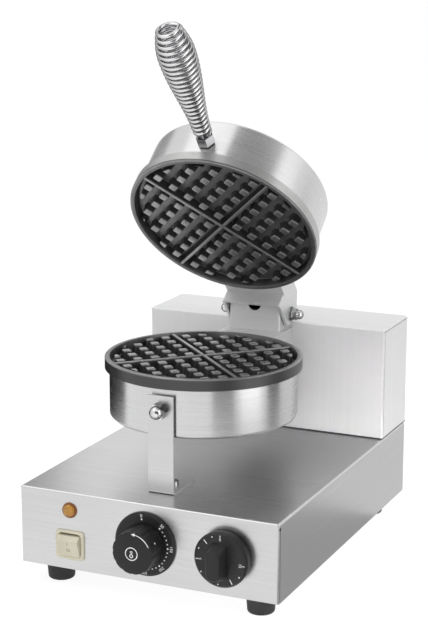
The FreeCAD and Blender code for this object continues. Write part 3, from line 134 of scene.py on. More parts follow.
class ControlSizes(bpy.types.PropertyGroup):
    """Sizes of the dial, the knobs, the switch and the lamp."""
    dial_dia: length("Dial diameter", "Diameter of the fixed dial", 0.058)
    dial_thick: length("Dial thickness", "Thickness of the fixed dial", 0.003)
    knob_dia: length("Knob diameter", "Diameter of the thermostat knob", 0.0395)
    knob_back: length("Knob back", "Where the thermostat knob starts", 0.0038)
    knob_front: length("Knob front", "Reach of the thermostat knob", 0.028)
    knob_taper: length("Knob taper", "How much the knob's radius falls", 0.0005)
    knob_crown: length("Knob crown", "Height of the knob's domed face", 0.0016)
    knob_edge: length("Knob edge", "Rounding of the knob's front edge", 0.0024)
    flutes: count("Flutes", "Finger flutes round the knob", 12)
    flute_deep: length("Flute depth", "Depth of a finger flute", 0.0005)
    bore_radius: length("Bore radius", "Radius of the recess behind a knob", 0.009)
    bore_deep: length("Bore depth", "Depth of the recess behind a knob", 0.005)
    timer_dia: length("Timer diameter", "Diameter of the timer's skirt", 0.05)
    timer_back: length("Timer back", "Where the timer's skirt starts", 0.0008)
    timer_skirt: length("Timer skirt", "Depth of the timer's skirt", 0.010)
    timer_edge: length("Timer edge", "Bevel of the timer's skirt", 0.002)
    timer_foot: length("Timer foot", "How far the skirt's foot draws in", 0.001)
    grip_width: length("Grip width", "Width of the timer's grip", 0.016)
    grip_length: length("Grip length", "Length of the timer's grip", 0.033)
    grip_height: length("Grip height", "Height of the timer's grip", 0.017)
    grip_lean: angle("Grip lean", "Lean of the grip's sides", 6)
    rocker_face: length("Rocker face", "Distance of the rocker's face from its pivot", 0.0078)
    print_lift: length("Print lift", "How far a print stands off its surface", 0.00006)
    lens_dia: length("Lens diameter", "Diameter of the lamp's lens", 0.0114)
    lens_proud: length("Lens reach", "Reach of the lamp's lens", 0.004)
    window: length("Switch window", "Opening of the switch frame", 0.0216)
    window_deep: length("Window depth", "Depth of the switch frame's opening", 0.012)
    frame_width: length("Frame width", "Width of the switch frame", 0.0285)
    frame_height: length("Frame height", "Height of the switch frame", 0.027)
    frame_proud: length("Frame reach", "Reach of the switch frame", 0.002)


class Finishes(bpy.types.PropertyGroup):
    """Colours of the finishes."""
    steel_light: colour("Light steel", "Bright lines of the brushed steel", (0.665, 0.665, 0.665))
    steel_dark: colour("Dark steel", "Dull lines of the brushed steel", (0.595, 0.595, 0.60))
    bright: colour("Bright steel", "Plated and polished pieces", (0.74, 0.74, 0.75))
    # Painted shade given to plated pieces where their faces are seen at a slant
    bright_edge: colour("Slanted bright steel", "Plated pieces seen at a slant", (0.10, 0.10, 0.105))
    coat: colour("Plate coat", "Dark coat of the baking plates", (0.070, 0.070, 0.071))
    # The worn colour also makes the painted sheen on the upper plate's band
    coat_worn: colour("Worn coat", "Rubbed edges of the baking plates", (0.46, 0.46, 0.455))
    black: colour("Black plastic", "Knobs and dial", (0.008, 0.008, 0.0085))
    ivory: colour("Ivory plastic", "Switch", (0.60, 0.565, 0.44))
    amber: colour("Amber", "Signal lamp", (0.50, 0.225, 0.012))
    amber_ring: colour("Lamp ring", "Rim of the signal lamp", (0.20, 0.065, 0.012))
    rubber: colour("Rubber", "Feet", (0.016, 0.016, 0.0165))
    print_white: colour("White print", "Marks on the controls", (0.80, 0.80, 0.80))
    print_grey: colour("Grey print", "Marks on the switch", (0.04, 0.038, 0.035))
    inner_grey: colour("Inner plastic", "Pieces inside the case", (0.30, 0.30, 0.30))
    # Painted shadow: width of the dark strips that stand in for the shadow lines of the column's joints
    seam: length("Seam", "Width of the dark seams on the column", 0.0005)
    floor: colour("Floor", "Studio floor", (0.86, 0.86, 0.86))


def plates():
    return bpy.context.scene.baker_plates


def handle():
    return bpy.context.scene.baker_handle


def controls():
    return bpy.context.scene.baker_controls


def finishes():
    return bpy.context.scene.baker_finishes


def put(name, data):
    """A new object at the origin, linked to the scene."""
    made = bpy.data.objects.new(name, data)
    bpy.context.scene.collection.objects.link(made)
    return made


class Shell:
    """Collects surfaces given as grids of points, and makes one mesh of them."""

    def __init__(self):
        self.points = []
        self.faces = []
        self.maps = []
        self.wears = []
        self.count = 0

    def keep(self, points, uv, wear):
        self.points.append(points)
        self.maps.append(np.zeros((len(points), 2)) if uv is None else uv.reshape(-1, 2))
        self.wears.append(wear)
        self.count += len(points)

    def add_grid(self, points, uv=None, wear=0.0):
        """A grid of points, rows by columns; neighbouring points make four-sided faces."""
        shape = points.shape[:2]
        index = self.count + np.arange(shape[0] * shape[1]).reshape(shape)
        corners = (index[:-1, :-1], index[:-1, 1:], index[1:, 1:], index[1:, :-1])
        self.faces += np.stack(corners, -1).reshape(-1, 4).tolist()
        self.keep(points.reshape(-1, 3), uv, np.broadcast_to(wear, shape).ravel())

    def add_mesh(self, points, faces):
        """Loose faces, such as those of a printed figure."""
        self.faces += [[self.count + corner for corner in face] for face in faces]
        self.keep(points, None, np.zeros(len(points)))

    def build(self, name, body, material, replaces=(), slot=None, sharp=40, move=None):
        """Join the surfaces, close their seams and hand the piece to its body."""
        points = np.concatenate(self.points)
        if move is not None:
            points = move(points)
        mesh = bpy.data.meshes.new(name)
        mesh.from_pydata(points.tolist(), [], self.faces)
        layer = mesh.uv_layers.new(name="grain")
        corner = np.empty(len(mesh.loops), dtype=np.int64)
        mesh.loops.foreach_get("vertex_index", corner)
        layer.data.foreach_set("uv", np.concatenate(self.maps)[corner].astype(np.float32).ravel())
        wear = mesh.attributes.new("wear", "FLOAT", "POINT")
        wear.data.foreach_set("value", np.concatenate(self.wears).astype(np.float32))
        whole = bmesh.new()
        whole.from_mesh(mesh)
        bmesh.ops.remove_doubles(whole, verts=whole.verts, dist=2e-7)
        bmesh.ops.dissolve_degenerate(whole, edges=whole.edges, dist=1e-7)
        bmesh.ops.recalc_face_normals(whole, faces=whole.faces)
        whole.to_mesh(mesh)
        whole.free()
        mesh.shade_smooth()
        mesh.set_sharp_from_angle(angle=math.radians(sharp))
        mesh.materials.append(material)
        piece = put(name, mesh)
        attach(piece, body)
        if replaces:
            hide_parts(*replaces)
        return piece


def spin_grid(profile, segments=180):
    """A profile of radius and height spun about Z: (r cos t, r sin t, z) for t from 0 to a full turn."""
    t = np.linspace(0, TURN, segments + 1)
    r, z = profile.T[:, :, None]
    return np.stack(np.broadcast_arrays(r * np.cos(t), r * np.sin(t), z), -1)


def spin_uv(profile, radius, segments=180):
    """Length round the piece against length along the profile, in metres."""
    along = np.concatenate([[0], np.cumsum(np.hypot(*np.diff(profile, axis=0).T))])
    t = np.linspace(0, TURN, segments + 1)
    return np.stack(np.broadcast_arrays(t * radius, along[:, None]), -1)


def rounded(corners, radius, steps=5):
    """An open line through corners, each inner corner replaced by an arc of the given radius."""
    corners = np.array(corners, float)
    line = [corners[:1]]
    for before, corner, after in zip(corners, corners[1:], corners[2:]):
        back_long, ahead_long = np.linalg.norm(before - corner), np.linalg.norm(after - corner)
        back, ahead = (before - corner) / back_long, (after - corner) / ahead_long
        half = math.acos(np.clip(back @ ahead, -1, 1)) / 2
        longest = 0.49 * min(back_long, ahead_long)
        reach = min(radius / math.tan(half), longest)
        size = reach * math.tan(half)
        bisector = (back + ahead) / np.linalg.norm(back + ahead)
        centre = corner + bisector * size / math.sin(half)
        start = corner + back * reach - centre
        end = corner + ahead * reach - centre
        share = np.linspace(0, 1, steps + 1)[:, None]
        mixed = start * (1 - share) + end * share
        line.append(centre + mixed / np.linalg.norm(mixed, axis=1)[:, None] * size)
    line.append(corners[-1:])
    return np.concatenate(line)


def square_ring(power, steps):
    """A rounded square of half-width 1: |x|^p + |y|^p = 1, by angle."""
    t = np.linspace(0, TURN, steps + 1)
    c, s = np.cos(t), np.sin(t)
    return np.stack([np.sign(c) * np.abs(c) ** (2 / power), np.sign(s) * np.abs(s) ** (2 / power)], -1)


def stack_rings(flat, heights):
    """Rings of flat points, rows by columns by two, each row lifted to its own height."""
    z = np.broadcast_to(heights[:, None, None], (*flat.shape[:2], 1))
    return np.concatenate([flat, z], -1)


def turn_x(points, turn):
    """Turn points about the X axis so that +Y goes towards +Z."""
    c, s = math.cos(turn), math.sin(turn)
    return points @ np.array([[1, 0, 0], [0, c, s], [0, -s, c]])


def turn_z(points, turn):
    """Turn points about the Z axis so that +X goes towards +Y."""
    c, s = math.cos(turn), math.sin(turn)
    return points @ np.array([[c, s, 0], [-s, c, 0], [0, 0, 1]])


def swing_open(points):
    """Carry points of the shut lid to the open pose, about the hinge axis."""
    return turn_x(points - HINGE, -LID_OPEN) + HINGE


def on_lower_rim(points):
    """Points about the middle of the lower rim, +Z up."""
    return points + np.array([0, PLATE_Y, RIM_Z])


def on_upper_rim(points):
    """The same points turned over on to the lid, and the lid swung open."""
    turned = points * np.array([1, -1, -1])
    return swing_open(turned + np.array([0, PLATE_Y, RIM_Z + plates().plate_gap]))


def on_handle(points):
    """Points along the handle: local +Z leaves the housing's front wall and rises by the tilt."""
    start = np.array([0, PLATE_Y - HOUSING_RADIUS, RIM_Z + plates().plate_gap + handle().rise])
    return swing_open(turn_x(points, math.pi / 2 - handle().tilt) + start)


def on_panel(x, z):
    """A move to the front panel: points are right, up and outwards of a control's centre."""
    def move(points):
        return np.stack([points[:, 0] + x, PANEL_Y - points[:, 2], points[:, 1] + z], -1)
    return move


def on_joint(joint):
    """A move to the place on the front panel where a control turns."""
    x, _, z = JOINTS[joint]["pos_m"]
    return on_panel(x, z)


# Materials


def wire(tree, source, target):
    tree.links.new(source, target)


def feed(tree, term, socket):
    """Wire a socket to another one, or give it a plain value."""
    if isinstance(term, bpy.types.NodeSocket):
        wire(tree, term, socket)
    else:
        socket.default_value = term


def add_node(tree, kind, terms=None, **settings):
    """A node with its settings made, then its inputs fed by number or by name."""
    node = tree.nodes.new("ShaderNode" + kind)
    for name, setting in settings.items():
        setattr(node, name, setting)
    for socket, term in (terms or {}).items():
        feed(tree, term, node.inputs[socket])
    return node


def maths(tree, operation, first, second):
    return add_node(tree, "Math", {0: first, 1: second}, operation=operation).outputs[0]


def blend_values(tree, share, first, second):
    """first * (1 - share) + second * share."""
    return add_node(tree, "Mix", {0: share, 2: first, 3: second}, data_type="FLOAT").outputs[0]


def blend_colours(tree, share, first, second):
    """The same blend between two plain colours."""
    terms = {0: share, 6: (*first, 1), 7: (*second, 1)}
    return add_node(tree, "Mix", terms, data_type="RGBA").outputs[2]


def noise(tree, vector, scale, detail, rough):
    terms = {"Vector": vector, "Scale": scale, "Detail": detail, "Roughness": rough}
    return add_node(tree, "TexNoise", terms).outputs["Fac"]


def stretch(tree, vector, factors):
    return add_node(tree, "VectorMath", {0: vector, 1: factors}, operation="MULTIPLY").outputs[0]


def remap(tree, value, span, low, high):
    """Map a span of a value to low..high and hold it there outside the span."""
    return add_node(tree, "MapRange", dict(enumerate((value, *span, low, high)))).outputs[0]


def spread(tree, value, low, high):
    """Map 0.3..0.7, where noise mostly lies, to low..high."""
    return remap(tree, value, (0.3, 0.7), low, high)


def bump(tree, shader, height, strength, distance):
    node = add_node(tree, "Bump", {"Strength": strength, "Distance": distance, "Height": height})
    wire(tree, node.outputs[0], shader.inputs["Normal"])


def object_coords(tree):
    return add_node(tree, "TexCoord").outputs["Object"]


def brushed(tree, vector):
    """Fine and broad noise drawn out along the first axis: tone 0 is a dull line and 1 a bright one."""
    fine = noise(tree, stretch(tree, vector, (14, 3200, 3200)), 1, 3, 0.6)
    broad = noise(tree, stretch(tree, vector, (5, 420, 420)), 1, 2, 0.5)
    cloud = noise(tree, vector, 9, 2, 0.5)
    lines = blend_values(tree, 0.45, fine, broad)
    return blend_values(tree, 0.25, lines, cloud), lines


def pebbled(tree, vector):
    """The skin of a coated casting: a fine pebble with slow cloudy changes of tone."""
    pebble = noise(tree, vector, 1500, 2, 0.55)
    cloud = noise(tree, vector, 60, 3, 0.6)
    return blend_values(tree, 0.5, pebble, cloud), pebble


GRAINS = {"Brushed grain": brushed, "Cast coat": pebbled}


def grain_group(name):
    """The node group of a grain, made once: a Vector goes in, a Tone and a Height for a bump come out."""
    if name not in bpy.data.node_groups:
        tree = bpy.data.node_groups.new(name, "ShaderNodeTree")
        tree.interface.new_socket("Vector", in_out="INPUT", socket_type="NodeSocketVector")
        for label in ("Tone", "Height"):
            tree.interface.new_socket(label, in_out="OUTPUT", socket_type="NodeSocketFloat")
        start = tree.nodes.new("NodeGroupInput")
        end = tree.nodes.new("NodeGroupOutput")
        tone, height = GRAINS[name](tree, start.outputs["Vector"])
        wire(tree, tone, end.inputs["Tone"])
        wire(tree, height, end.inputs["Height"])
    return bpy.data.node_groups[name]


def place_grain(tree, name, vector):
    """Place a grain on a vector; gives its tone and its height."""
    node = add_node(tree, "Group", {"Vector": vector}, node_tree=grain_group(name))
    return node.outputs["Tone"], node.outputs["Height"]


def new_material(name):
    """A material with only a Principled shader and its output."""
    made = bpy.data.materials.new(name)
    made.use_nodes = True
    tree = made.node_tree
    tree.nodes.clear()
    shader = add_node(tree, "BsdfPrincipled")
    add_node(tree, "OutputMaterial", {0: shader.outputs[0]})
    return made, tree, shader


def finish(dress_shader):
    """Turn a function that feeds a Principled shader into one that gives a named material, made once."""
    def named(name, *values, **more):
        if name not in bpy.data.materials:
            _, tree, shader = new_material(name)
            dress_shader(tree, shader, *values, **more)
        return bpy.data.materials[name]
    return named


def set_inputs(tree, shader, **terms):
    """Feed the inputs of a shader by name, with _ for a space."""
    for name, term in terms.items():
        feed(tree, term, shader.inputs[name.replace("_", " ")])


def steel_from_grain(tree, shader, tone, height, rough, metal):
    """Common to the steels: tone drives colour and roughness, height the bump."""
    tint = blend_colours(tree, spread(tree, tone, 0, 1), finishes().steel_dark, finishes().steel_light)
    smooth, dull = rough
    set_inputs(tree, shader, Base_Color=tint, Roughness=spread(tree, tone, dull, smooth), Metallic=metal)
    bump(tree, shader, height, 0.07, 0.00006)


@finish
def folded_steel(tree, shader, rough=(0.24, 0.36), metal=1.0, upright=False):
    """Brushed sheet on flat pieces: grain runs level or upright on walls and from side to side on tops."""
    coords = object_coords(tree)
    x, y, z = add_node(tree, "SeparateXYZ", {0: coords}).outputs
    along, across = ("Y", "X") if upright else ("X", "Y")
    wall = add_node(tree, "CombineXYZ", {along: maths(tree, "ADD", x, y), across: z})
    normal = add_node(tree, "SeparateXYZ", {0: add_node(tree, "NewGeometry").outputs["Normal"]})
    level = maths(tree, "GREATER_THAN", maths(tree, "ABSOLUTE", normal.outputs["Z"], 0), 0.8)
    sides = place_grain(tree, "Brushed grain", wall.outputs[0])
    tops = place_grain(tree, "Brushed grain", coords)
    tone, height = (blend_values(tree, level, side, top) for side, top in zip(sides, tops))
    steel_from_grain(tree, shader, tone, height, rough, metal)


@finish
def rolled_steel(tree, shader):
    """Brushed sheet of the round housings: grain runs round, so highlights spread up and down."""
    uv = add_node(tree, "UVMap", uv_map="grain").outputs[0]
    steel_from_grain(tree, shader, *place_grain(tree, "Brushed grain", uv), (0.22, 0.32), 1)
    tangent = add_node(tree, "Tangent", direction_type="UV_MAP", uv_map="grain").outputs[0]
    set_inputs(tree, shader, Anisotropic=0.7, Anisotropic_Rotation=0.25, Tangent=tangent)


@finish
def bright_steel(tree, shader):
    """Polished and plated wire, nuts and screws, with faint rubbing, and painted shade that darkens their
    colour where their faces are seen at a slant.
    """
    rub = noise(tree, object_coords(tree), 220, 3, 0.6)
    # Painted shade: faces seen at a slant take the darker colour, standing in for dark reflections
    slant = remap(tree, add_node(tree, "LayerWeight").outputs["Facing"], (0.15, 0.65), 0, 1)
    tint = blend_colours(tree, slant, finishes().bright, finishes().bright_edge)
    set_inputs(tree, shader, Base_Color=tint, Roughness=spread(tree, rub, 0.10, 0.22), Metallic=1)


@finish
def cast_coat(tree, shader):
    """Dark coat on the cast plates, made lighter where the wear attribute says so: rubbed on edges and
    tops, and a painted sheen on the upper plate's band.
    """
    tone, height = place_grain(tree, "Cast coat", object_coords(tree))
    wear = add_node(tree, "Attribute", attribute_name="wear").outputs["Fac"]
    rubbed = maths(tree, "MULTIPLY", wear, spread(tree, tone, 0.25, 1))
    set_inputs(tree, shader, Base_Color=blend_colours(tree, rubbed, finishes().coat, finishes().coat_worn),
               Metallic=spread(tree, rubbed, 0.75, 0.95), Roughness=spread(tree, tone, 0.42, 0.28))
    bump(tree, shader, height, 0.25, 0.0001)


@finish
def moulded(tree, shader, tint, rough, pebble=900, depth=0.00005, shine=0.5):
    """Moulded plastic or rubber: an even colour with a fine pebble and slight changes of gloss."""
    coords = object_coords(tree)
    grain = noise(tree, coords, pebble, 2, 0.5)
    cloud = noise(tree, coords, 45, 2, 0.5)
    darker = tuple(0.86 * part for part in tint)
    set_inputs(tree, shader, Base_Color=blend_colours(tree, spread(tree, cloud, 0, 1), darker, tint),
               Roughness=spread(tree, grain, *rough), Specular_IOR_Level=shine)
    bump(tree, shader, grain, 0.2, depth)


def rubber():
    return moulded("rubber", finishes().rubber, (0.55, 0.75), pebble=700, depth=0.0001)


def black_plastic():
    return moulded("black plastic", finishes().black, (0.34, 0.46), shine=0.36)


def ivory_plastic():
    return moulded("ivory plastic", finishes().ivory, (0.30, 0.42))


def printed(name, tint):
    return moulded(name, tint, (0.45, 0.6), pebble=1500, depth=0.00001)


def print_white(marks, name, body, move):
    """Hand over marks printed in white; they share one material."""
    marks.build(name, body, printed("white print", finishes().print_white), slot="ivory_plastic", move=move)


@finish
def amber_lens(tree, shader):
    """Clear amber with a cut pattern: small cells of lighter and darker tone under a glossy coat."""
    away = add_node(tree, "TexVoronoi", {"Vector": object_coords(tree), "Scale": 440}).outputs["Distance"]
    deep = tuple(0.42 * part for part in finishes().amber)
    set_inputs(tree, shader, Base_Color=blend_colours(tree, away, finishes().amber, deep),
               Roughness=0.18, Coat_Weight=0.6)
    bump(tree, shader, away, 0.4, 0.0003)


def dress(names, material):
    """Give CAD nodes a finish."""
    for name in names:
        slots = NODES[name].data.materials
        slots.clear()
        slots.append(material)


# Pieces


class BAKER_OT_sheet_steel(bpy.types.Operator):
    """Finish the folded steel pieces, the bright hardware and the hidden inner pieces"""
    bl_idname = "baker.sheet_steel"
    bl_label = "Folded steel and hardware"

    def execute(self, context):
        dress(("base_housing", "base_bottom_plate", "front_bracket", "lower_heat_shield",
               "upper_heat_shield"), folded_steel("folded steel"))
        dress(("support_arm", "hinge_pedestal", "hinge_yoke"),
              folded_steel("hinge steel", (0.34, 0.46), 0.55))
        dress(("column_housing", "column_rear_cover"),
              folded_steel("upright steel", (0.42, 0.54), 0.2, True))
        self.make_seams()
        dress(("bottom_plate_screws", "foot_screws", "foot_nuts", "column_screws", "rear_cover_screws",
               "hinge_pin", "hinge_washers", "hinge_dome_nuts", "hinge_bushes", "front_bracket_bolt",
               "front_bracket_standoff", "front_bracket_dome_nut", "front_bracket_screw",
               "lower_shield_spacer", "upper_shield_spacer", "lower_plate_bolt", "upper_plate_bolt",
               "handle_rod", "handle_nut", "handle_ferrule", "thermostat_bulb", "thermostat_shaft",
               "timer_shaft", "control_nuts", "lower_heating_element", "upper_heating_element"),
              bright_steel("bright steel"))
        dress(("switch_case", "thermostat_body", "timer_body", "terminal_block", "lamp_body"),
              moulded("inner plastic", finishes().inner_grey, (0.4, 0.55)))
        dress(("cable_gland", "cable_gland_nut"), black_plastic())
        dress(("rubber_feet",), rubber())
        return {"FINISHED"}

    def make_seams(self):
        """Dark flat strips round the column's foot and along its side panels: painted shadow lines of the
        joints.
        """
        low, high = (np.array(corner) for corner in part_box("column_housing"))
        lift = controls().print_lift
        wide = finishes().seam
        panel_top = high[2] - 0.0022
        panel_front = low[1] + 0.0026
        seams = Shell()

        def strip(start, end, width):
            line = np.array([start, end])
            seams.add_grid(np.array([line, line + width]))

        # Painted shadow lines at the column's foot, along its side panels' tops and down their fronts
        strip((low[0], low[1] - lift, low[2]), (high[0], low[1] - lift, low[2]), (0, 0, 2 * wide))
        for x in (low[0] - lift, high[0] + lift):
            strip((x, low[1], low[2]), (x, high[1], low[2]), (0, 0, 2 * wide))
            strip((x, low[1], panel_top), (x, high[1], panel_top), (0, 0, wide))
            strip((x, panel_front, low[2]), (x, panel_front, panel_top), (0, wide, 0))
        seams.build("column_seams", "base", rubber(), slot="black_rubber")


def housing_shell(tall):
    """A round housing about the rim's middle: closed end, wall, edge and bore, each spun about Z."""
    p = plates()
    top = -p.band_height
    low = top - tall
    floor = low + p.sheet
    bore = HOUSING_RADIUS - p.sheet
    closed = rounded([(0, low), (HOUSING_RADIUS, low), (HOUSING_RADIUS, top)], p.housing_bend, 8)[:-1]
    wall = np.array([(HOUSING_RADIUS, low + p.housing_bend), (HOUSING_RADIUS, top)])
    edge = np.array([(HOUSING_RADIUS, top), (bore, top)])
    inner = np.array([(bore, top), (bore, floor), (0, floor)])
    shell = Shell()
    for profile in (closed, wall, edge, inner):
        shell.add_grid(spin_grid(profile), spin_uv(profile, HOUSING_RADIUS))
    return shell


class BAKER_OT_housings(bpy.types.Operator):
    """Make the two round housings as spun sheet"""
    bl_idname = "baker.housings"
    bl_label = "Round housings"

    def execute(self, context):
        p = plates()
        for name, body, tall, move in (("lower_housing", "base", p.lower_height, on_lower_rim),
                                       ("upper_housing", "lid", p.upper_height, on_upper_rim)):
            housing_shell(tall).build(name + "_shell", body, rolled_steel("rolled steel"), (name,),
                                      "stainless_steel", 35, move)
        return {"FINISHED"}


# Where the plates are rubbed, and where the upper plate's band gets a painted sheen: widths and depths in
# metres, then shares.
# The painted sheen's share is above one, so that the coat's grain doesn't mottle it; it stands in for the
# light the upper band catches from above.
RUBBED_RING = 0.002
RUBBED_LIP = 0.001
RUBBED_DEPTH = 0.0016
BAND_SHEEN_FROM = 0.0024
RING_WEAR, RIM_WEAR, FLOOR_WEAR = 0.9, 0.35, 0.4
COATED_BAND, BAND_PAINTED_SHEEN = 0, 2


def cavity_radius():
    return RIM_RADIUS - plates().rim_width


def floor_radius():
    return cavity_radius() - plates().cavity_slope


def top_wear(z, height, start):
    """Rubbed share of a cast top: none below a start, given as a share of its height, then all of it."""
    return np.clip((z - start * height) / (0.1 * height), 0, 1)


def add_pan(shell, band_wear):
    """The pan: floor, leaning wall, flat rim and band as one profile spun about Z, then its back; the band
    takes the painted sheen it is given.
    """
    p = plates()
    cavity = cavity_radius()
    pan = rounded([(0, -p.cavity_depth), (floor_radius(), -p.cavity_depth), (cavity, 0),
                   (RIM_RADIUS - p.rim_edge, 0), (RIM_RADIUS, -p.rim_edge), (RIM_RADIUS, -p.band_height)],
                  p.cast_radius, 4)
    pan = np.insert(pan, len(pan) - 1, [(RIM_RADIUS, -RUBBED_DEPTH), (RIM_RADIUS, -BAND_SHEEN_FROM)], 0)
    outer = np.flatnonzero(pan[:, 0] > RIM_RADIUS - RUBBED_RING)[0]
    pan = np.insert(pan, outer, (RIM_RADIUS - RUBBED_RING, 0), 0)
    r, z = pan.T
    on_rim = np.where(r > RIM_RADIUS - 0.95 * RUBBED_RING, RING_WEAR, RIM_WEAR) * (r > cavity - RUBBED_LIP)
    on_floor = (z < -0.95 * p.cavity_depth) & (r < cavity)
    wear_and_sheen_share = np.clip(1 + z / RUBBED_DEPTH, 0, 1) * on_rim + FLOOR_WEAR * on_floor
    # Painted sheen on the band: the upper plate's band is made lighter and more metallic, standing in for
    # light from above
    wear_and_sheen_share[-2:] = band_wear
    shell.add_grid(spin_grid(pan), wear=wear_and_sheen_share[:, None])
    seat = HOUSING_RADIUS - p.sheet - p.seat_gap
    under = p.band_height + p.spigot_depth
    back = np.array([(RIM_RADIUS, -p.band_height), (seat, -p.band_height), (seat, -under), (0, -under)])
    shell.add_grid(spin_grid(back), wear=np.array([band_wear, 0, 0, 0])[:, None])


def add_studs(shell):
    """Studs: rounded squares that shrink with height, cut back to the gutter's circle."""
    p = plates()
    limit = floor_radius() - p.gutter_width
    slope = math.tan(p.stud_draft)
    half = p.stud_base / 2
    top_half = half - p.stud_height * slope
    side = rounded([(half + p.foot_flare, 0), (half, p.foot_flare), (top_half, p.stud_height),
                    (0, p.stud_height)], p.cast_radius, 3)
    shoulder = 0.82 * p.stud_height
    side = np.insert(side, np.searchsorted(side[:, 1], shoulder), (half - shoulder * slope, shoulder), 0)
    stud = stack_rings(side[:, 0][:, None, None] * square_ring(7, 32), side[:, 1] - p.cavity_depth)
    wear_and_sheen_share = top_wear(side[:, 1], p.stud_height, 0.86)
    steps = p.stud_first + p.stud_pitch * np.arange(p.stud_rows)
    quarter = np.stack(np.meshgrid(steps, steps, 0), -1).reshape(-1, 3)
    # A stud stands only where its inner corner is well inside the gutter's circle
    inside = 0.002
    quarter = quarter[np.hypot(*(quarter[:, :2] - half).T) < limit - inside]
    for turn in range(4):
        studs = turn_z(stud + quarter[:, None, None], p.grid_turn + turn * TURN / 4)
        away = np.maximum(np.hypot(studs[..., 0], studs[..., 1]), limit)[..., None]
        studs[..., :2] *= limit / away
        for one in studs:
            shell.add_grid(one, wear=wear_and_sheen_share[:, None])


def add_ribs(shell):
    """Ribs: a rounded wedge carried straight across the pan, twice."""
    p = plates()
    half = p.rib_base / 2
    slope = math.tan(p.stud_draft)
    top_half = half - p.rib_height * slope
    wedge = rounded([(-half, 0), (-top_half, p.rib_height), (top_half, p.rib_height), (half, 0)],
                    p.cast_radius, 4)
    shoulder = 0.84 * p.rib_height
    flank = half - shoulder * slope
    wedge = np.concatenate([wedge[:1], [(-flank, shoulder)], wedge[1:-1], [(flank, shoulder)], wedge[-1:]])
    bite = 0.0003
    reach = cavity_radius() + bite
    across, up = wedge.T[:, :, None]
    rib = np.stack(np.broadcast_arrays(np.linspace(-reach, reach, 60), across, up - p.cavity_depth), -1)
    wear_and_sheen_share = top_wear(wedge[:, 1], p.rib_height, 0.88)
    for turn in range(2):
        shell.add_grid(turn_z(rib, p.grid_turn + turn * TURN / 4), wear=wear_and_sheen_share[:, None])


class BAKER_OT_plates(bpy.types.Operator):
    """Make the two cast baking plates with rounded studs, ribs and rubbed edges"""
    bl_idname = "baker.plates"
    bl_label = "Baking plates"

    def execute(self, context):
        # Only the upper plate's band gets the painted sheen; the lower one keeps its dark coat
        for name, body, band_wear, move in (("lower_grid_plate", "base", COATED_BAND, on_lower_rim),
                                            ("upper_grid_plate", "lid", BAND_PAINTED_SHEEN, on_upper_rim)):
            shell = Shell()
            add_pan(shell, band_wear)
            add_studs(shell)
            add_ribs(shell)
            shell.build(name + "_cast", body, cast_coat("cast coat"), (name,), "cast_plate", 45, move)
        return {"FINISHED"}


def coil_path(h):
    """Middle line of the coil: (r cos a, r sin a, z); r swells to the belly and falls to the tip."""
    share = np.linspace(0, 1, 64 * h.turns + 1)
    base, belly, tip = ((dia - h.wire) / 2 for dia in (h.base_dia, h.belly_dia, h.tip_dia))
    swell = base + (belly - base) * (1 - np.cos(math.pi * np.minimum(share / h.belly_at, 1))) / 2
    rest = np.clip((share - h.belly_at) / (1 - h.belly_at), 0, 1)
    radius = np.where(share < h.belly_at, swell, tip + (belly - tip) * np.cos(math.pi / 2 * rest))
    around = TURN * h.turns * share
    low, high = h.coil_start + h.wire / 2, h.coil_end - h.wire / 2
    return np.stack([radius * np.cos(around), radius * np.sin(around), low + (high - low) * share], -1)


def wire_shell(path, wire_dia):
    """A round wire: circles square to its path, carried on past both ends by a diameter and closed."""
    ahead = np.gradient(path, axis=0)
    ahead /= np.linalg.norm(ahead, axis=1)[:, None]
    path = np.concatenate([path[:1] - ahead[:1] * wire_dia, path, path[-1:] + ahead[-1:] * wire_dia])
    ahead = np.concatenate([ahead[:1], ahead, ahead[-1:]])
    outward = path * np.array([1, 1, 0])
    outward -= ahead * np.sum(outward * ahead, 1)[:, None]
    outward /= np.linalg.norm(outward, axis=1)[:, None]
    aside = np.cross(ahead, outward)
    t = np.linspace(0, TURN, 19)[:, None]
    circles = path[:, None] + (np.cos(t) * outward[:, None] + np.sin(t) * aside[:, None]) * wire_dia / 2
    shell = Shell()
    shell.add_grid(circles)
    for end, order in ((0, 1), (-1, -1)):
        ring = circles[end][::order]
        shell.add_grid(np.stack([np.broadcast_to(path[end], ring.shape), ring]))
    return shell


class BAKER_OT_handle(bpy.types.Operator):
    """Make the barrel-shaped coil of the handle"""
    bl_idname = "baker.handle"
    bl_label = "Coil handle"

    def execute(self, context):
        coil = wire_shell(coil_path(handle()), handle().wire)
        coil.build("handle_coil", "lid", bright_steel("bright steel"), ("handle_spring",),
                   "bright_steel", 50, on_handle)
        return {"FINISHED"}


def figure(text, height):
    """A printed figure as flat points and faces, centred, of the given height."""
    curve = bpy.data.curves.new("figure", "FONT")
    curve.body = text
    curve.align_x = "CENTER"
    curve.align_y = "CENTER"
    capital_share = 0.7
    curve.size = height / capital_share
    holder = bpy.data.objects.new("figure", curve)
    mesh = bpy.data.meshes.new_from_object(holder)
    points = np.empty(len(mesh.vertices) * 3)
    mesh.vertices.foreach_get("co", points)
    faces = [list(face.vertices) for face in mesh.polygons]
    bpy.data.objects.remove(holder)
    bpy.data.curves.remove(curve)
    bpy.data.meshes.remove(mesh)
    return points.reshape(-1, 3), faces


def ring_band(inner, outer, start, end, out, steps=48):
    """A flat arc between two radii; angles run clockwise from the top, as on a dial."""
    t = np.linspace(start, end, steps)
    r = np.array([inner, outer])[:, None]
    return np.stack([r * np.sin(t), r * np.cos(t), np.full((2, steps), out)], -1)


def dot(x, y, radius, out, steps=16):
    """A flat disc: rays from its middle to points on its circle."""
    t = np.linspace(0, TURN, steps + 1)
    rim = np.stack([x + radius * np.cos(t), y + radius * np.sin(t), np.full(steps + 1, out)], -1)
    return np.stack([np.broadcast_to((x, y, out), rim.shape), rim])


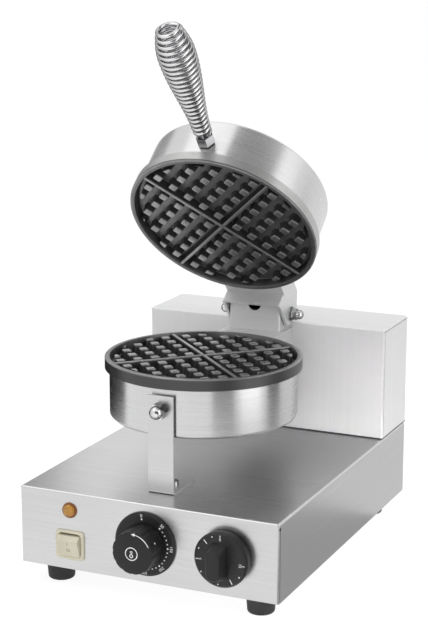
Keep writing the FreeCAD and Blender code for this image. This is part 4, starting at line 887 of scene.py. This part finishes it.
def round_place(radius, clockwise):
    """A place on a dial: an angle clockwise from the top at a radius."""
    return radius * math.sin(clockwise), radius * math.cos(clockwise)


def put_figure(shell, text, size, radius, clockwise, out):
    """Set a figure on a dial at an angle clockwise from the top, its head outwards."""
    points, faces = figure(text, size)
    shell.add_mesh(turn_z(points, -clockwise) + (*round_place(radius, clockwise), out), faces)


def knob_back(back, radius):
    """Back of a knob: a flat ring round the recess for its shaft."""
    c = controls()
    deep = back + c.bore_deep
    return np.array([(0, deep), (c.bore_radius, deep), (c.bore_radius, back), (radius, back)])


class BAKER_OT_thermostat(bpy.types.Operator):
    """Make the thermostat's knob and the prints on its knob and dial"""
    bl_idname = "baker.thermostat"
    bl_label = "Thermostat"

    def execute(self, context):
        dress(("thermostat_dial",), black_plastic())
        move = on_joint("thermostat_turn")
        self.make_knob(move)
        self.print_face(move)
        self.print_index(move)
        self.print_dial(move)
        return {"FINISHED"}

    def make_knob(self, move):
        """A tapered drum whose radius dips at each flute; its domed face falls with r squared."""
        c = controls()
        segments = 240
        radius = c.knob_dia / 2
        edge = radius - c.knob_taper
        crown = np.linspace(0.9, 0, 9)
        face = np.stack([edge * crown, c.knob_front - c.knob_crown * crown ** 2], -1)
        side = rounded([(radius, c.knob_back), (edge, c.knob_front - c.knob_crown), face[0], face[1]],
                       c.knob_edge, 6)
        drum = np.concatenate([side[:-1], face[1:]])
        grid = spin_grid(drum, segments)
        t = np.linspace(0, TURN, segments + 1)
        flat_share = 0.35
        dip = np.clip(np.cos(c.flutes * t) - flat_share, 0, 1) / (1 - flat_share)
        fade_from, fade_over = radius - 0.0025, 0.002
        outer = np.clip((drum[:, 0] - fade_from) / fade_over, 0, 1)
        shrink = 1 - c.flute_deep / radius * dip * outer[:, None]
        grid[..., :2] *= shrink[..., None]
        shell = Shell()
        shell.add_grid(grid)
        shell.add_grid(spin_grid(knob_back(c.knob_back, radius), segments))
        shell.build("thermostat_knob_drum", "thermostat_control", black_plastic(), ("thermostat_knob",),
                    "black_plastic", 35, move)

    def print_face(self, move):
        """A ring with a small gauge sign and a curved arrow, laid on the domed face."""
        c = controls()
        edge = c.knob_dia / 2 - c.knob_taper
        marks = Shell()
        for inner, outer, up, steps in ((0.0052, 0.0060, 0, 64), (0.0010, 0.0018, -0.0018, 32),
                                        (0.0006, 0.0012, 0.0016, 32)):
            marks.add_grid(ring_band(inner, outer, 0, TURN, 0, steps) + (0, up, 0))
        arrow, half_line, half_head = 0.0174, 0.0003, 0.0014
        tip, barb, tail = np.radians((-3, 9, 64))
        marks.add_grid(ring_band(arrow - half_line, arrow + half_line, math.radians(8), tail, 0))
        head = [(*round_place(radius, turn), 0) for radius, turn in
                ((arrow, tip), (arrow + half_head, barb), (arrow - half_head, barb))]
        marks.add_mesh(np.array(head), [[0, 1, 2]])

        def on_crown(points):
            away = np.hypot(points[:, 0], points[:, 1]) / edge
            out = c.knob_front - c.knob_crown * away ** 2 + c.print_lift
            return move(np.stack([points[:, 0], points[:, 1], points[:, 2] + out], -1))
        print_white(marks, "thermostat_knob_print", "thermostat_control", on_crown)

    def print_index(self, move):
        """A dot wrapped on to the drum's side."""
        c = controls()
        radius = c.knob_dia / 2
        index_turn, index_out = math.radians(63), c.knob_front - 0.010
        index = Shell()
        index.add_grid(dot(0, 0, 0.0009, 0))

        def on_side(points):
            turn = index_turn + points[:, 0] / radius
            x, y = radius * np.sin(turn), radius * np.cos(turn)
            return move(np.stack([x, y, index_out + points[:, 1]], -1))
        print_white(index, "thermostat_knob_index", "thermostat_control", on_side)

    def print_dial(self, move):
        """A stop mark at the top, then a row of dots with temperatures beside some of them."""
        c = controls()
        out = c.dial_thick + c.print_lift
        ring = c.dial_dia / 2 - 0.0065
        small, large = 0.0006, 0.0008
        stop = math.radians(-6)
        scale = Shell()
        scale.add_grid(dot(*round_place(ring + small, stop), large, out))
        put_figure(scale, "0", 0.0030, ring + 0.0036, stop, out)
        first, apart, dots = 41.5, 9.9, 15
        turns = np.radians(first + apart * np.arange(dots))
        for step, turn in enumerate(turns):
            scale.add_grid(dot(*round_place(ring, turn), large if step % 5 == 0 else small, out))
        for step, label in ((0, "50"), (5, "150"), (10, "250"), (14, "300")):
            put_figure(scale, label, 0.0026, ring + 0.0033, turns[step], out)
        print_white(scale, "thermostat_dial_print", "base", move)


class BAKER_OT_timer(bpy.types.Operator):
    """Make the timer's skirted knob and its scale"""
    bl_idname = "baker.timer"
    bl_label = "Timer"

    def execute(self, context):
        move = on_joint("timer_turn")
        self.make_knob(move)
        self.print_scale(move)
        return {"FINISHED"}

    def make_knob(self, move):
        """A bevelled skirt spun about Z, and a grip: a rounded bar that shrinks with height."""
        c = controls()
        radius = c.timer_dia / 2
        foot = radius - c.timer_foot
        face = c.timer_back + c.timer_skirt
        skirt = rounded([(foot, c.timer_back), (radius, face - c.timer_edge), (radius - c.timer_edge, face),
                         (0, face)], 0.0008, 4)
        shell = Shell()
        shell.add_grid(spin_grid(skirt))
        shell.add_grid(spin_grid(knob_back(c.timer_back, foot)))
        lean = c.grip_height * math.tan(c.grip_lean)
        flare, top_edge, end_taper = 0.0006, 0.004, 0.12
        side = rounded([(flare, 0), (0, flare), (-lean, c.grip_height), (-lean - top_edge, c.grip_height)],
                       0.0016, 5)
        half = np.array([c.grip_width, c.grip_length]) / 2
        bar = stack_rings((half + side[:, :1])[:, None] * square_ring(5, 64), face + side[:, 1])
        bar[..., 1] *= 1 - end_taper * side[:, 1:] / c.grip_height
        shell.add_grid(bar)
        shell.add_grid(np.stack([bar[-1], np.broadcast_to((0, 0, face + c.grip_height), bar[-1].shape)]))
        shell.build("timer_knob_body", "timer_control", black_plastic(), ("timer_knob",),
                    "black_plastic", 35, move)

    def print_scale(self, move):
        """Scale on the skirt's face: three figures under dashes, with ticks and dots between."""
        c = controls()
        out = c.timer_back + c.timer_skirt + c.print_lift
        edge = c.timer_dia / 2 - 0.0024
        marks = Shell()

        def tick(degrees, long, half_wide):
            turn = math.radians(degrees)
            marks.add_grid(ring_band(edge - long, edge, turn - half_wide, turn + half_wide, out, 4))

        for degrees, label in ((0, "0"), (95, "15"), (-93, "5")):
            put_figure(marks, label, 0.0026, edge - 0.0040, math.radians(degrees), out)
            tick(degrees, 0.0022, 0.014)
        for degrees in (-42, 150):
            tick(degrees, 0.0045, 0.016)
        for degrees in (-20, -67, -125, 125, 185):
            marks.add_grid(dot(*round_place(edge - 0.0010, math.radians(degrees)), 0.0006, out))
        print_white(marks, "timer_knob_print", "timer_control", move)


class BAKER_OT_switch(bpy.types.Operator):
    """Make the switch frame with rounded edges, finish the rocker and print its marks"""
    bl_idname = "baker.switch"
    bl_label = "Rocker switch"

    def execute(self, context):
        dress(("power_rocker",), ivory_plastic())
        self.make_frame()
        self.print_rocker()
        return {"FINISHED"}

    def make_frame(self):
        """A soft-edged section carried round a rounded rectangle: shares of the way in, against height."""
        c = controls()
        outer = np.array([c.frame_width, c.frame_height]) / 2
        inner = np.array([c.window, c.window]) / 2
        top, rounding = c.frame_proud, 0.0003
        section = np.array([(0, 0), (0, top - 3 * rounding), (0.1, top - rounding), (0.3, top), (0.75, top),
                            (0.93, top - rounding), (1, top - 0.001), (1, -c.window_deep)])
        share = section[:, :1]
        reach = outer * (1 - share) + inner * share
        shell = Shell()
        shell.add_grid(stack_rings(reach[:, None] * square_ring(9, 96), section[:, 1]))
        shell.build("switch_frame_rim", "base", ivory_plastic(), ("switch_frame",), "ivory_plastic", 40,
                    on_joint("switch_rock"))

    def print_rocker(self):
        """Marks on the rocker's face, which leans out at the top by half its travel."""
        c = controls()
        joint = JOINTS["switch_rock"]
        lean = math.radians(joint["range_deg"][1]) / 2
        marks = Shell()
        for text, size, up in (("I", 0.0026, 0.0048), ("O", 0.0030, -0.0016)):
            points, faces = figure(text, size)
            marks.add_mesh(points + (0, up, c.rocker_face + c.print_lift), faces)

        def on_rocker(points):
            upright = np.stack([points[:, 0], -points[:, 2], points[:, 1]], -1)
            return turn_x(upright, lean) + np.array(joint["pos_m"])
        marks.build("power_rocker_print", "switch_rocker", printed("grey print", finishes().print_grey),
                    slot="black_plastic", move=on_rocker)


class BAKER_OT_lamp(bpy.types.Operator):
    """Make the signal lamp's domed lens and finish its ring"""
    bl_idname = "baker.lamp"
    bl_label = "Signal lamp"

    def execute(self, context):
        c = controls()
        dress(("lamp_ring",), moulded("lamp ring", finishes().amber_ring, (0.25, 0.4)))
        # Dome: radius and height follow a quarter turn, the radius flattened by a power below one
        radius = c.lens_dia / 2
        foot, shoulder = 0.001, 0.0018
        quarter = np.linspace(0, 1, 14) * math.pi / 2
        dome = np.stack([radius * np.cos(quarter) ** 0.6,
                         shoulder + (c.lens_proud - shoulder) * np.sin(quarter)], -1)
        dome[-1, 0] = 0
        shell = Shell()
        shell.add_grid(spin_grid(np.concatenate([[(0, foot), (radius, foot)], dome]), 72))
        low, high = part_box("lamp_lens")
        shell.build("lamp_lens_dome", "base", amber_lens("amber lens"), ("lamp_lens",), "amber_lens", 50,
                    on_panel((low.x + high.x) / 2, (low.z + high.z) / 2))
        return {"FINISHED"}


# Stage

MIDDLE = (0, 0, 0.2)

# Soft lights: name, place, aim, width and height, power in watts, spread in degrees.
# The narrow one is turned to the column's foot.
LAMPS = (
    ("key light", (-1.3, -1.3, 1.7), MIDDLE, (1.1, 1.1), 12, 180),
    ("fill light", (1.75, -0.35, 1.1), MIDDLE, (0.9, 1.2), 9, 180),
    ("front light", (0.60, -1.85, 0.6), MIDDLE, (1.0, 1.0), 8, 180),
    ("column light", (0.66, -1.60, 0.28), (0.12, 0.09, 0), (0.15, 0.10), 0.25, 13),
    ("top light", (0.0, 0.5, 1.9), MIDDLE, (1.4, 1.0), 12, 180),
)

# Cards that the bright metal reflects: name, centre, width and height, tone
CARDS = (
    ("right front card", (0.40, -0.42, 0.28), (0.24, 0.55), 0.15),
    ("right card", (0.545, 0.18, 0.20), (0.22, 0.40), 0.0),
    ("left card", (-0.42, 0.08, 0.09), (0.50, 0.18), 0.0),
    ("high left card", (-0.60, 0.45, 0.47), (0.30, 0.40), 0.35),
    ("right bright card", (0.62, -0.16, 0.35), (0.30, 0.70), 1.95),
    ("left bright card", (-0.45, -0.60, 0.30), (0.60, 0.60), 0.97),
    ("overhead grey card", (0.44, 0.00, 1.22), (0.36, 1.00), 0.10),
    ("overhead bright card", (-0.35, 0.00, 1.30), (0.90, 0.90), 1.45),
    ("high right bright card", (0.95, 0.35, 0.95), (0.40, 0.50), 1.45),
    ("front fold card", (-0.55, -0.62, 1.30), (0.90, 0.50), 2.20),
    ("camera card", (0.80, -1.80, 0.95), (1.30, 1.40), 0.05),
    ("front floor card", (0.29, -0.07, 0.002), (0.40, 0.32), 0.42),
    ("rear floor card", (0.53, 0.58, 0.002), (0.90, 0.80), 0.78),
)
# A card below the first height lies on the floor, and one above the second leans towards the object
LYING_BELOW, LEANING_ABOVE = 0.01, 0.6


def seen_rays(tree):
    """One for rays from the camera, off shiny surfaces or through clear ones, and zero for the rest."""
    path = add_node(tree, "LightPath")
    seen = maths(tree, "MAXIMUM", path.outputs["Is Camera Ray"], path.outputs["Is Glossy Ray"])
    return maths(tree, "MAXIMUM", seen, path.outputs["Is Transmission Ray"])


def flat_sheet(name, middle, side, rise, material):
    """A four-cornered sheet about its middle, from its half sides."""
    corners = [middle + a * side + b * rise for a, b in ((-1, -1), (1, -1), (1, 1), (-1, 1))]
    mesh = bpy.data.meshes.new(name)
    mesh.from_pydata(corners, [], [(0, 1, 2, 3)])
    mesh.materials.append(material)
    return put(name, mesh)


class BAKER_OT_stage(bpy.types.Operator):
    """Set the floor, the soft studio light and the camera"""
    bl_idname = "baker.stage"
    bl_label = "Studio"

    def execute(self, context):
        scene = context.scene
        scene.view_settings.view_transform = "Standard"
        self.make_floor()
        self.make_world(scene)
        for lamp in LAMPS:
            self.make_lamp(*lamp)
        for card in CARDS:
            self.make_card(*card)
        self.make_camera(scene)
        return {"FINISHED"}

    def make_floor(self):
        """A pale floor that shows near white and keeps the object's shadow."""
        made, tree, shader = new_material("studio floor")
        set_inputs(tree, shader, Base_Color=(*finishes().floor, 1), Roughness=0.9, Specular_IOR_Level=0)
        white = add_node(tree, "Emission", {"Strength": 1.1}).outputs[0]
        share = maths(tree, "MULTIPLY", seen_rays(tree), 0.8)
        mix = add_node(tree, "MixShader", {0: share, 1: shader.outputs[0], 2: white})
        out = next(node for node in tree.nodes if node.type == "OUTPUT_MATERIAL")
        wire(tree, mix.outputs[0], out.inputs[0])
        reach = 40.0
        side, rise = reach * np.eye(3)[:2]
        floor = flat_sheet("studio_floor", np.zeros(3), side, rise, made)

    def make_world(self, scene):
        """White behind the object and in its reflections; a dimmer white lights it all round."""
        world = bpy.data.worlds.new("studio")
        world.use_nodes = True
        tree = world.node_tree
        tree.nodes.clear()
        strength = blend_values(tree, seen_rays(tree), 0.7, 1.0)
        sky = add_node(tree, "Background", {"Color": (1, 1, 1, 1), "Strength": strength})
        add_node(tree, "OutputWorld", {0: sky.outputs[0]})
        scene.world = world

    def make_lamp(self, name, place, aim, size, power, spread_degrees):
        """A soft light turned towards a point, which shiny surfaces don't show."""
        light = bpy.data.lights.new(name, "AREA")
        light.shape = "RECTANGLE"
        light.size, light.size_y = size
        light.energy = power
        light.spread = math.radians(spread_degrees)
        lamp = put(name, light)
        lamp.visible_glossy = False
        lamp.location = place
        x, y, z = np.array(place) - np.array(aim)
        lamp.rotation_euler = (math.atan2(math.hypot(x, y), z), 0, math.atan2(x, -y))

    def make_card(self, name, place, size, tone):
        """A card turned to the object, seen only as a reflection in its shiny surfaces."""
        made, tree, shader = new_material(name)
        set_inputs(tree, shader, Base_Color=(0, 0, 0, 1), Specular_IOR_Level=0, Emission_Color=(1, 1, 1, 1),
                   Emission_Strength=tone)
        place = np.array(place)
        side, rise = np.array([0, 1.0, 0]), np.array([1.0, 0, 0])
        if place[2] > LYING_BELOW:
            facing = place - (0, PLATE_Y, place[2] if place[2] < LEANING_ABOVE else MIDDLE[2])
            side = np.cross([0, 0, 1.0], facing)
            rise = np.cross(facing, side)
        width, height = size
        half_side = side / np.linalg.norm(side) * width / 2
        half_rise = rise / np.linalg.norm(rise) * height / 2
        card = flat_sheet(name, place, half_side, half_rise, made)
        card.visible_camera = False
        card.visible_diffuse = False
        card.visible_shadow = False
        card.visible_transmission = False

    def make_camera(self, scene):
        """The photograph's view: place, heading and lens solved from the base's straight edges."""
        data = bpy.data.cameras.new("camera")
        data.lens = 98.74
        data.sensor_width = 36
        data.clip_end = 200
        camera = put("camera", data)
        camera.location = (0.64466, PANEL_Y - 1.27658, 0.5924)
        heading, dip = math.radians(24.42), math.radians(13.21)
        camera.rotation_euler = (math.pi / 2 - dip, 0, heading)
        scene.camera = camera


class BAKER_PT_panel(bpy.types.Panel):
    """Lists the baker's pieces in the sidebar"""
    bl_idname = "BAKER_PT_panel"
    bl_label = "Waffle baker"
    bl_space_type = "VIEW_3D"
    bl_region_type = "UI"
    bl_category = "Baker"

    def draw(self, context):
        for operator in OPERATORS:
            self.layout.operator(operator.bl_idname)
        for settings in (plates(), handle(), controls(), finishes()):
            for name in settings.__annotations__:
                self.layout.prop(settings, name)


OPERATORS = (BAKER_OT_sheet_steel, BAKER_OT_housings, BAKER_OT_plates, BAKER_OT_handle, BAKER_OT_thermostat,
             BAKER_OT_timer, BAKER_OT_switch, BAKER_OT_lamp, BAKER_OT_stage)
SETTINGS = {"baker_plates": PlateSizes, "baker_handle": HandleSizes, "baker_controls": ControlSizes,
            "baker_finishes": Finishes}


def register():
    for made in (*SETTINGS.values(), *OPERATORS, BAKER_PT_panel):
        bpy.utils.register_class(made)
    for name, made in SETTINGS.items():
        setattr(bpy.types.Scene, name, PointerProperty(type=made))


def unregister():
    for name in SETTINGS:
        delattr(bpy.types.Scene, name)
    for made in reversed((*SETTINGS.values(), *OPERATORS, BAKER_PT_panel)):
        bpy.utils.unregister_class(made)


def main():
    register()
    for operator in OPERATORS:
        area, name = operator.bl_idname.split(".")
        getattr(getattr(bpy.ops, area), name)()


if __name__ == "__main__":
    main()
